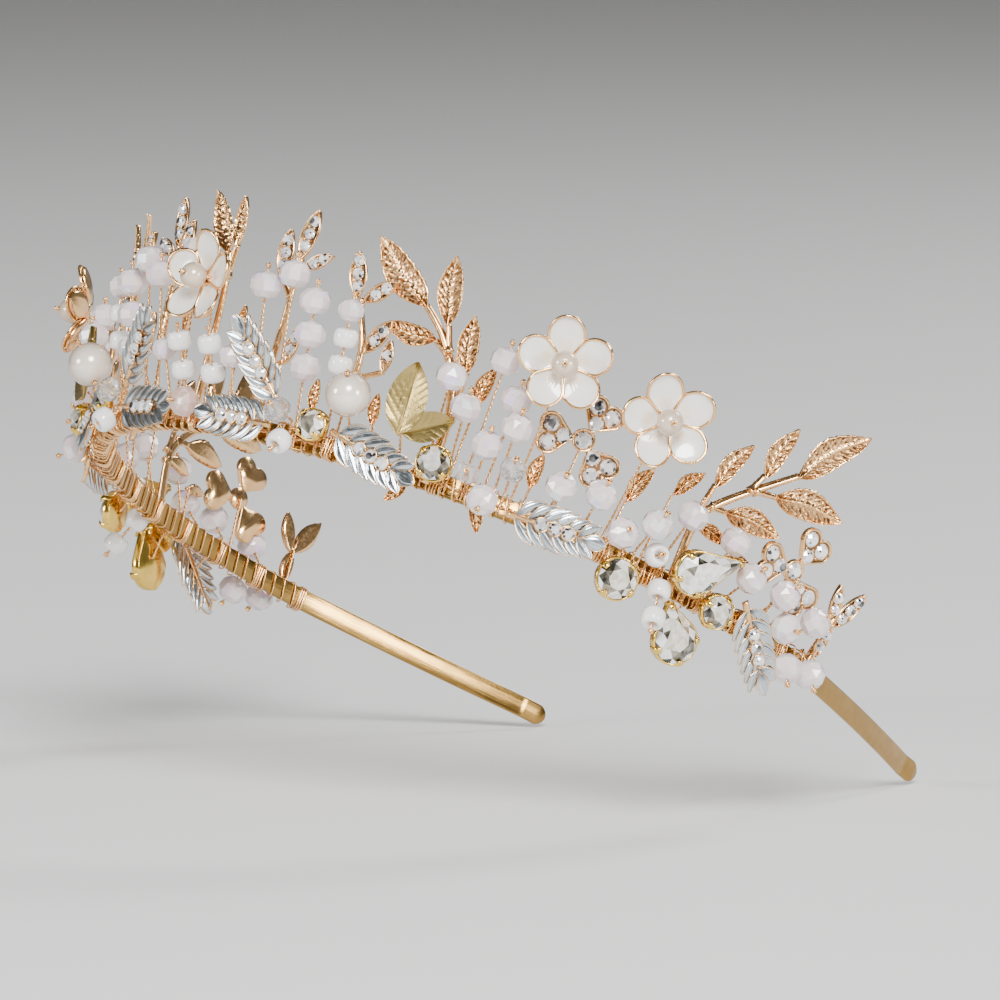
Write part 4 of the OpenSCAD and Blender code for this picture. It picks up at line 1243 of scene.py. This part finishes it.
def heart_outline(seat, r):
    """Counter-clockwise from the point: a straight side, two round shoulders, a side."""
    tip, c = np.array([-1.1 * seat - r, 0]), np.array([0.35 * seat, -seat])
    away = c - tip
    far = math.hypot(*away)
    touch = math.atan2(away[1], away[0]) - math.asin(r / far) - np.pi / 2
    notch = math.asin(min(1, seat / r))
    a = np.linspace(touch, notch, 20)
    shoulder = c + r * np.stack([np.cos(a), np.sin(a)], -1)
    half = np.concatenate([tip[None], shoulder])
    whole = np.concatenate([half, half[:0:-1] * [1, -1]])
    return even_steps(np.concatenate([whole, whole[:1]]), 48)


def dish(outline, levels):
    """A closed dish: rings are the outline shrunk towards its middle by each level's
    share, at each level's height, from the back's edge over the rim to the floor."""
    middle = outline.mean(0)
    rings = []
    for inset, z in levels:
        away = outline - middle
        far = np.linalg.norm(away, axis=1, keepdims=True)
        rings.append(np.c_[middle + away * (1 - inset / far), np.full(len(outline), z)])
    return skin(np.array(rings))


def rimmed(thick, rim):
    """The levels of a setting with an upright wall, a flat rim and a sunk floor."""
    return [(0, 0), (-0.1, 0.12), (-0.1, thick - 0.1), (0, thick), (rim, thick),
            (rim + 0.12, thick - 0.3)]


class TIARA_OT_sprays(TiaraOperator):
    """Make the stone-set sprays and trefoils, with their stones and grains"""
    bl_idname = "tiara.sprays"
    bl_label = "Stone-set sprays"

    def build(self, size):
        rng = np.random.default_rng(11)
        d, lobe_d = size["stone_d"], size["lobe_stone_d"]
        seat, heart_r = lobe_d / 2 + 0.1, lobe_d / 2 + 0.5
        for label, side in SIDES.items():
            metal, stones = Build(), Build()
            for at, stalk, twigs, leaves in SPRAYS:
                place = on_band(at, 0, SPRAY_OFF, side)
                add_stalk(metal, place, stalk, 1.5, 0.9, 0.3)
                for twig in twigs:
                    add_stalk(metal, place, twig, 1.1, 0.8, 0.1, 0.3)
                for x, y, direction, span in leaves:
                    leaf = place @ turned(direction, x, y)
                    surface, pit = setting_leaf(span + LEAF_ROOT, span * SPRAY_RATIO, 0.9)
                    metal.add(surface, leaf @ turned(0, -LEAF_ROOT), pit=pit)
                    pitch = d + 0.1
                    count = int((span - 1.2) / pitch)
                    for i in range(count):
                        reach = span / 2 + (i - (count - 1) / 2) * pitch
                        add_stone(stones, rng, leaf @ turned(0, reach, 0, 0.5), d, 1.1)
                    for i in range(count + 1):
                        between = span / 2 + (i - count / 2) * pitch
                        for s in (-1, 1):
                            metal.add(grain(), leaf @ turned(0, between, s * 0.62, 0.95))
            metal.piece(f"spray_settings_{label}", f"stone_sprays_{label}", "rose")
            for which, (station, height) in TREFOILS.items():
                lobes = Build()
                place = on_band(station, height, SPRAY_OFF, side)
                middle = circle(lobe_d / 2 + 0.45, 24)
                lobes.add(dish(middle, rimmed(0.9, 0.25)), place)
                add_stone(stones, rng, place @ turned(0, 0, 0, 0.5), lobe_d, 1.1)
                for turn in TREFOIL_TURNS:
                    lobe = place @ turned(turn) @ turned(0, TREFOIL_REACH)
                    outline = heart_outline(seat, heart_r)
                    surface = dish(outline, rimmed(1.15, 0.34))
                    # The lobe's sunk floor is marked to be darkened: painted shade.
                    pit = np.repeat([0, 0, 0, 0, 0, 0.8], len(outline))
                    lobes.add(surface, lobe, pit=pit)
                    seats = [(0.35 * seat, seat), (0.35 * seat, -seat), (-1.25 * seat, 0)]
                    for x, y in seats:
                        add_stone(stones, rng, lobe @ turned(0, x, y, 0.5), lobe_d * 0.92, 1.1)
                    for x, y in ((0.35 * seat + 1.0, 0), (-0.3 * seat, 0), (-0.7 * seat, 1.6),
                                 (-0.7 * seat, -1.6), (0.9 * seat, 2.4), (0.9 * seat, -2.4)):
                        lobes.add(grain(), lobe @ turned(0, x, y, 0.9))
                lobes.piece(f"trefoil_{which}_{label}", f"{which}_trefoil_{label}", "rose")
            stones.piece(f"spray_stones_{label}", f"set_stones_{label}", "stone")


class TIARA_OT_silver_leaves(TiaraOperator):
    """Make the lobed silver leaves, their gilt outlines and their stones in wire rings"""
    bl_idname = "tiara.silver_leaves"
    bl_label = "Silver leaves"

    def lobe(self, span, width, bend):
        """A feather-shaped lobe: its half width is a sine pushed towards the tip, its
        middle bends away as a parabola, and its front is a ridge with fine ripples. The grooves
        between the ripples and the lobe's foot are marked to be darkened as painted shade."""
        u = (1 - np.cos(np.linspace(0, np.pi, 20))) / 2
        x = span * u
        half = np.maximum(width / 2 * np.sin(np.pi * u ** 1.25) ** 0.8, 0.06)
        middle = bend * span * u ** 2

        def front(xs, v, hs):
            height = 0.42 + 0.34 * (1 - np.abs(v)) + 0.07 * np.cos(v * 14)
            # Painted shade in the grooves and at the lobe's foot by the rib.
            grooves = np.clip(np.cos(v * 14 + np.pi), 0, 1) * 0.4
            foot = 1 - smooth_step(0.05, 0.4, xs / span)
            return height, np.clip(grooves + 0.8 * foot, 0, 1)

        surface, pit = blade(x, half, front, 0.0, middle, 0.03 * x, across=17, under=3)
        line = np.stack([x, middle], -1)
        out = np.stack([0 * x, half], -1)
        edge = np.concatenate([line - out, (line + out)[-2:0:-1]])
        rim = np.c_[edge, 0.42 + 0.03 * edge[:, 0]]
        return surface, pit, tube(rim, 0.11, (0, 0, 1), 5, closed=True)

    def build(self, size):
        rng = np.random.default_rng(23)
        pitch = SILVER_LEN * 0.78 / LOBES
        d = size["stone_d"]
        for label, side in SIDES.items():
            leaves, stones = Build(), Build()
            for station, height, off, direction, outward in SILVER_PLACES:
                place = on_band(station, height, off, side)
                place = place @ matrix(turn_x(outward)) @ turned(direction)
                # Where each lobe starts, its turn, length and width
                seats = [(SILVER_LEN * 0.28, 0.0, SILVER_LEN * 0.22 + 0.6, 3.0)]
                for i in range(LOBES):
                    at, span = -SILVER_LEN * 0.42 + i * pitch, 6.2 - 0.5 * max(0, i - 2)
                    seats += [(at, -54.0, span, 2.3), (at, 54.0, span, 2.3)]
                for x, turn, span, width in seats:
                    surface, pit, rim = self.lobe(span, width, -0.0045 * turn)
                    roll = matrix(turn_x(rng.uniform(-8, 8) + 0.18 * turn))
                    at = place @ turned(turn, x) @ roll
                    leaves.add(surface, at, pit=pit)
                    leaves.add(rim, at, finish=1)
                rib_x = np.linspace(-SILVER_LEN / 2, SILVER_LEN * 0.48, 30)
                rib = np.stack([rib_x, 0 * rib_x, 0 * rib_x], -1)
                taper = 1 - 0.6 * (rib_x - rib_x[0]) / np.ptp(rib_x)
                rib_bar = sweep(rib, stalk_profile(1.3, 0.85), (0, 0, 1), scale=taper)
                leaves.add(rib_bar, place, finish=1)
                for i in (-1, 0, 1):
                    seat = place @ turned(0, i * (d + 0.3), 0, SILVER_T)
                    add_stone(stones, rng, seat, d * 1.08, 0.95)
                    ring = np.c_[circle(d / 2 * 1.08 + 0.05, 20), np.full(20, 0.22)]
                    leaves.add(tube(ring, 0.14, (0, 0, 1), 5, closed=True), seat, finish=1)
            leaves.piece(f"lobed_leaves_{label}", f"silver_leaves_{label}", "silver", "wire")
            stones.piece(f"lobed_stones_{label}", f"silver_leaf_stones_{label}", "stone")


class TIARA_OT_flowers(TiaraOperator):
    """Make the five enamel flowers: metal backs and rims, cupped petals and pearls"""
    bl_idname = "tiara.flowers"
    bl_label = "Enamel flowers"

    def petal_line(self, reach, r):
        """Half a petal's edge, from the flower's middle outwards: a circle whose width
        grows by a fifth towards its outer end and falls away towards its inner end."""
        t = np.linspace(0, np.pi, 34)
        c = -np.cos(t)
        squeeze = 1 + np.where(c > 0, 0.1 * c, 0.5 * c)
        return reach + r * c, 0.84 * r * np.sin(t) * squeeze

    def cupping(self, x, end):
        """How far a petal has risen at x, more steeply towards its end."""
        return 2.3 * (x / end) ** 2.2

    def build(self, size):
        reach, r = size["petal_reach"], size["petal_r"]
        pearls = Build()
        for label, (station, height, off, turn, side) in FLOWERS.items():
            metal, enamel = Build(), Build()
            place = on_band(station, height, off, side)
            for i in range(5):
                at = place @ turned(90 + turn + 72 * i)
                x, half = self.petal_line(reach, r)

                def back(xs, v, hs):
                    return CUP_T * 0.55 + 0.45 * v * v + 0 * xs, 0 * xs * v

                surface, _ = blade(x, np.maximum(half, 0.06), back, 0.0, 0.0,
                                   self.cupping(x, reach + r), across=13, under=5)
                metal.add(surface, at)
                edge = np.concatenate([np.stack([x, -half], -1), np.stack([x, half], -1)[-2:0:-1]])
                rim = np.c_[edge, CUP_T + 0.42 + self.cupping(edge[:, 0], reach + r)]
                metal.add(tube(rim, 0.3, (0, 0, 1), 6, closed=True), at)

                x, half = self.petal_line(reach, r - 0.16)

                def glaze(xs, v, hs):
                    away = np.hypot(xs, hs * v)
                    angle = np.degrees(np.arctan2(hs * v, xs))
                    ray = sum(np.exp(-((angle - middle) / 1.6) ** 2)
                              for middle in (-13, -4.5, 4.5, 13))
                    span = smooth_step(2.4, 2.9, away) * (1 - smooth_step(4.3, 4.9, away))
                    ray = np.clip(ray * span, 0, 1)
                    pool = 0.5 * v * v + 0.12 * np.clip(np.abs(v) - 0.8, 0, 1)
                    return CUP_T + 0.12 + pool * 0.55 + 0.08 * ray, 0.9 * ray

                surface, pit = blade(x, np.maximum(half, 0.05), glaze, CUP_T * 0.6, 0.0,
                                     self.cupping(x, reach + r), across=41, under=5)
                enamel.add(surface, at, pit=pit)
            button = [(0.2, -0.02), (1.9, -0.02), (2.3, 0.3), (1.9, 0.75),
                      (0.9, 0.95), (0.35, 0.95)]
            metal.add(lathe(np.array(button), 24), place)
            metal.piece(f"flower_metal_{label}", f"flower_cup_{label}", "rose")
            enamel.piece(f"flower_enamel_{label}", f"petals_{label}", "enamel")
            seat = place @ turned(0, 0, 0, CUP_T + ENAMEL_T + 0.1 + size["flower_pearl_d"] / 2)
            pearls.add(round_bead(size["flower_pearl_d"], 0.34, 28, 17), seat)
        pearls.piece("flower_pearl_balls", "flower_pearls", "small_pearl")


def pear_outline(span, width, count=16):
    """Counter-clockwise from the point: a straight side, a round end, a side."""
    r = width / 2
    reach = span - r
    touch = math.acos(r / reach)
    a = np.linspace(touch, 2 * np.pi - touch, 60)
    arc = r * np.stack([np.cos(a), np.sin(a)], -1)
    closed = np.concatenate([[[reach, 0]], arc, [[reach, 0]]]) + [r - span / 2, 0]
    return even_steps(closed, count)


def add_claw(build, place, out, angle, top, reach_in):
    """A claw: a bent line from the base up the wall and over the girdle, tapering."""
    t = np.array([[out, 0.1], [out + 0.12, 0.9], [out + 0.12, top - 0.75], [out - 0.1, top - 0.25],
                  [out - reach_in, top]])
    path = resampled(np.c_[t[:, 0], np.zeros(5), t[:, 1]], 0.22)
    scale = 1 - 0.35 * np.linspace(0, 1, len(path)) ** 2
    build.add(sweep(path, circle(0.32, 10, 2.5), (1, 0, 0), scale=scale), place @ turned(angle))


class TIARA_OT_crystals(TiaraOperator):
    """Make the claw-set round and pear crystals and their gilt settings"""
    bl_idname = "tiara.crystals"
    bl_label = "Claw-set crystals"

    def build(self, size):
        rng = np.random.default_rng(5)
        for label, side in SIDES.items():
            metal, cut = Build(), Build()
            for n, (station, height, off, d) in enumerate(ROUND_PLACES):
                place = on_band(station, height, off, side)
                wall = [(0.2, 0), (0.0, 0.12), (0, 1.35), (0.1, 1.56), (0.34, 1.56), (0.5, 1.2)]
                metal.add(dish(circle(d / 2 + SETTING_WALL * 0.8, 32), wall), place)
                for i in range(4):
                    add_claw(metal, place, d / 2 + 0.18, 45 + 90 * i + 11 * n, 2.75, 0.75)
                surface = cut_stone(circle(d / 2, 16), 1.15, 3.0)
                cut.add(surface, place @ turned(7 * n), smooth=False,
                        tone=tones(rng, surface, 0.45))
            metal.piece(f"round_claws_{label}", f"round_settings_{label}", "claw")
            cut.piece(f"round_cut_{label}", f"round_crystals_{label}", "crystal")
            metal, cut = Build(), Build()
            for station, height, off, span, width, turn in PEAR_PLACES:
                place = on_band(station, height, off, side) @ turned(turn)
                wall = [(0.25, 0), (0.05, 0.12), (0.05, 1.5), (0.15, 1.75), (0.42, 1.75),
                        (0.6, 1.4)]
                metal.add(dish(pear_outline(span + 0.8, width + 0.8, 48), wall), place)
                middle = width / 2 - span / 2
                for angle in (100, 180, 260):
                    add_claw(metal, place @ turned(0, middle), width / 2 + 0.15, angle, 2.7, 0.8)
                add_claw(metal, place @ turned(0, span / 2 - 2.2), 1.9, 0, 2.6, 0.9)
                surface = cut_stone(pear_outline(span, width), 1.3, 3.05)
                cut.add(surface, place, smooth=False, tone=tones(rng, surface, 0.42))
            metal.piece(f"pear_claws_{label}", f"pear_settings_{label}", "claw")
            cut.piece(f"pear_cut_{label}", f"pear_crystals_{label}", "crystal")


class TIARA_OT_beads(TiaraOperator):
    """Make the milky, white and clear beads on their stems"""
    bl_idname = "tiara.beads"
    bl_label = "Beads"

    def add_string(self, builds, rng, size, row, side):
        station, off, heights, d, kind = row
        for h in heights:
            place = on_stem(station, h, heights[-1], off, side) @ turned(rng.uniform(0, 360))
            self.add_bead(builds[kind], rng, size, place, d, kind)

    def add_bead(self, build, rng, size, place, d, kind):
        if kind == "white":
            build.add(ring_bead(d), place)
            return
        surface = cut_bead(d, int(size["facets"]))
        build.add(surface, place, smooth=False, tone=rng.uniform(0, 1, facet_count(surface)))

    def build(self, size):
        rng = np.random.default_rng(41)
        for label, side in SIDES.items():
            builds = {kind: Build() for kind in ("opal", "white", "clear")}
            for row in strings(size):
                self.add_string(builds, rng, size, row, side)
            station, off, top, heights = WHITE_ON_OPAL
            for h in heights:
                place = on_stem(station, h, top, off, side)
                self.add_bead(builds["white"], rng, size, place, size["seed_d"], "white")
            surface = cut_cube(size["cube_d"])
            builds["clear"].add(surface, on_band(*CUBE_PLACE, side), smooth=False,
                                tone=rng.uniform(0, 1, facet_count(surface)))
            for kind, build in builds.items():
                build.piece(f"{kind}_cut_{label}", f"{kind}_beads_{label}", kind)
        builds = {kind: Build() for kind in ("opal", "white")}
        for row in centre_strings(size):
            self.add_string(builds, rng, size, row, 1)
        for kind, build in builds.items():
            build.piece(f"{kind}_cut_centre", f"{kind}_beads_centre", kind)


class TIARA_OT_turning(TiaraOperator):
    """Make the two large pearls and the pink bead, each free to turn on its wire"""
    bl_idname = "tiara.turning"
    bl_label = "Pearls and centre bead"

    def build(self, size):
        for label, side in SIDES.items():
            pearl = Build()
            station, height, off = PEARL_PLACE
            place = on_stem(station, height, height, off, side)
            pearl.add(round_bead(size["pearl_d"], 0.36, 40, 25), place)
            name = f"large_pearl_{label}"
            pearl.piece(f"pearl_ball_{label}", name, "pearl", body=name)
        rng = np.random.default_rng(2)
        station, height, off = CENTRE_BEAD_PLACE
        surface = cut_bead(size["centre_bead_d"], int(size["facets"]))
        bead = Build()
        bead.add(surface, on_stem(station, height, height, off), smooth=False,
                 tone=rng.uniform(0, 1, facet_count(surface)))
        bead.piece("centre_cut_bead", "centre_bead", "pink", body="centre_bead")


class TIARA_OT_stage(TiaraOperator):
    """Make the pale floor that curves up all round, the soft lights and the camera"""
    bl_idname = "tiara.stage"
    bl_label = "Stage"

    def build(self, size):
        low = CAD_BOX[0][2]
        flat, bend, top = 6.4, 0.9, 2.6
        a = np.linspace(0, np.pi / 2, 14)[1:]
        r = np.r_[0.001, np.linspace(0.2, flat, 12), flat + bend * np.sin(a), flat + bend]
        rise = np.r_[np.zeros(13), bend * (1 - np.cos(a)), top]
        a = np.linspace(0, 2 * np.pi, 72, endpoint=False)
        rings = np.stack([r[:, None] * np.cos(a), r[:, None] * np.sin(a),
                          np.broadcast_to((low + rise)[:, None], (len(r), 72))], -1)
        points, faces = skin(rings, caps=False)
        mesh = bpy.data.meshes.new("studio_floor")
        mesh.from_pydata(points.tolist(), [], faces[0][:, ::-1].tolist() + [list(range(72))])
        mesh.polygons.foreach_set("use_smooth", np.ones(len(mesh.polygons), bool))
        made, tree, shader = new_material("pale_floor", Roughness=0.7)
        place = object_place(tree)
        cloud = noise(tree, place, 3.0, 4.0)
        floor = bpy.context.scene.tiara_colours.floor
        tree.links.new(blend(tree, cloud, rgba(floor), rgba(floor, 0.96)),
                       shader.inputs["Base Color"])
        mesh.materials.append(made)
        floor_object = bpy.data.objects.new("studio_floor", mesh)
        bpy.context.scene.collection.objects.link(floor_object)

        world = bpy.context.scene.world or bpy.data.worlds.new("studio")
        bpy.context.scene.world = world
        world.use_nodes = True
        background = world.node_tree.nodes["Background"]
        background.inputs["Color"].default_value = (1.0, 0.99, 0.97, 1)
        background.inputs["Strength"].default_value = 0.13

        for name, place, width, power in (
            ("key", (1.4, -1.0, 1.25), 0.8, 66.0),
            ("fill", (-0.6, -1.9, 0.6), 0.6, 22.0),
            ("back", (0.1, 1.5, 1.3), 0.7, 22.0),
            ("side", (1.9, 0.3, 0.4), 0.5, 20.0),
        ):
            light = bpy.data.lights.new(name, "AREA")
            light.shape, light.size, light.energy = "DISK", width, power
            lamp = bpy.data.objects.new(name, light)
            lamp.location = place
            lamp.rotation_euler = (-Vector(place)).to_track_quat("-Z", "Y").to_euler()
            bpy.context.scene.collection.objects.link(lamp)

        towards = Vector((0.7604, -0.6406, 0.1064)).normalized()
        right = towards.cross(Vector((0, 0, 1))).normalized() * -1
        up = towards.cross(right)
        shift = right * 0.0040 + up * 0.0177
        data = bpy.data.cameras.new("view")
        data.lens, data.sensor_width = 339.7, 36.0
        data.clip_start, data.clip_end = 0.05, 30.0
        camera = bpy.data.objects.new("view", data)
        camera.location = towards * 1.794 + shift
        camera.rotation_euler = (-towards).to_track_quat("-Z", "Y").to_euler()
        bpy.context.scene.collection.objects.link(camera)
        bpy.context.scene.camera = camera


class TIARA_PT_panel(Panel):
    bl_idname = "TIARA_PT_panel"
    bl_label = "Bridal tiara"
    bl_space_type = "VIEW_3D"
    bl_region_type = "UI"
    bl_category = "Tiara"

    def draw(self, context):
        scene = context.scene
        for group, title in ((scene.tiara_sizes, "Sizes"), (scene.tiara_colours, "Colours")):
            box = self.layout.box()
            box.label(text=title)
            for name in type(group).__annotations__:
                box.prop(group, name)
        for maker in OPERATORS:
            self.layout.operator(maker.bl_idname)


OPERATORS = (
    TIARA_OT_stage, TIARA_OT_band, TIARA_OT_binding, TIARA_OT_stems, TIARA_OT_branches,
    TIARA_OT_sprays, TIARA_OT_silver_leaves, TIARA_OT_flowers, TIARA_OT_crystals,
    TIARA_OT_beads, TIARA_OT_turning,
)
CLASSES = (TiaraSizes, TiaraColours) + OPERATORS + (TIARA_PT_panel,)


def register():
    for made in CLASSES:
        bpy.utils.register_class(made)
    bpy.types.Scene.tiara_sizes = PointerProperty(type=TiaraSizes)
    bpy.types.Scene.tiara_colours = PointerProperty(type=TiaraColours)


def unregister():
    del bpy.types.Scene.tiara_sizes
    del bpy.types.Scene.tiara_colours
    for made in reversed(CLASSES):
        bpy.utils.unregister_class(made)


def main():
    register()
    for maker in OPERATORS:
        group, name = maker.bl_idname.split(".")
        getattr(getattr(bpy.ops, group), name)()


if __name__ == "__main__":
    main()
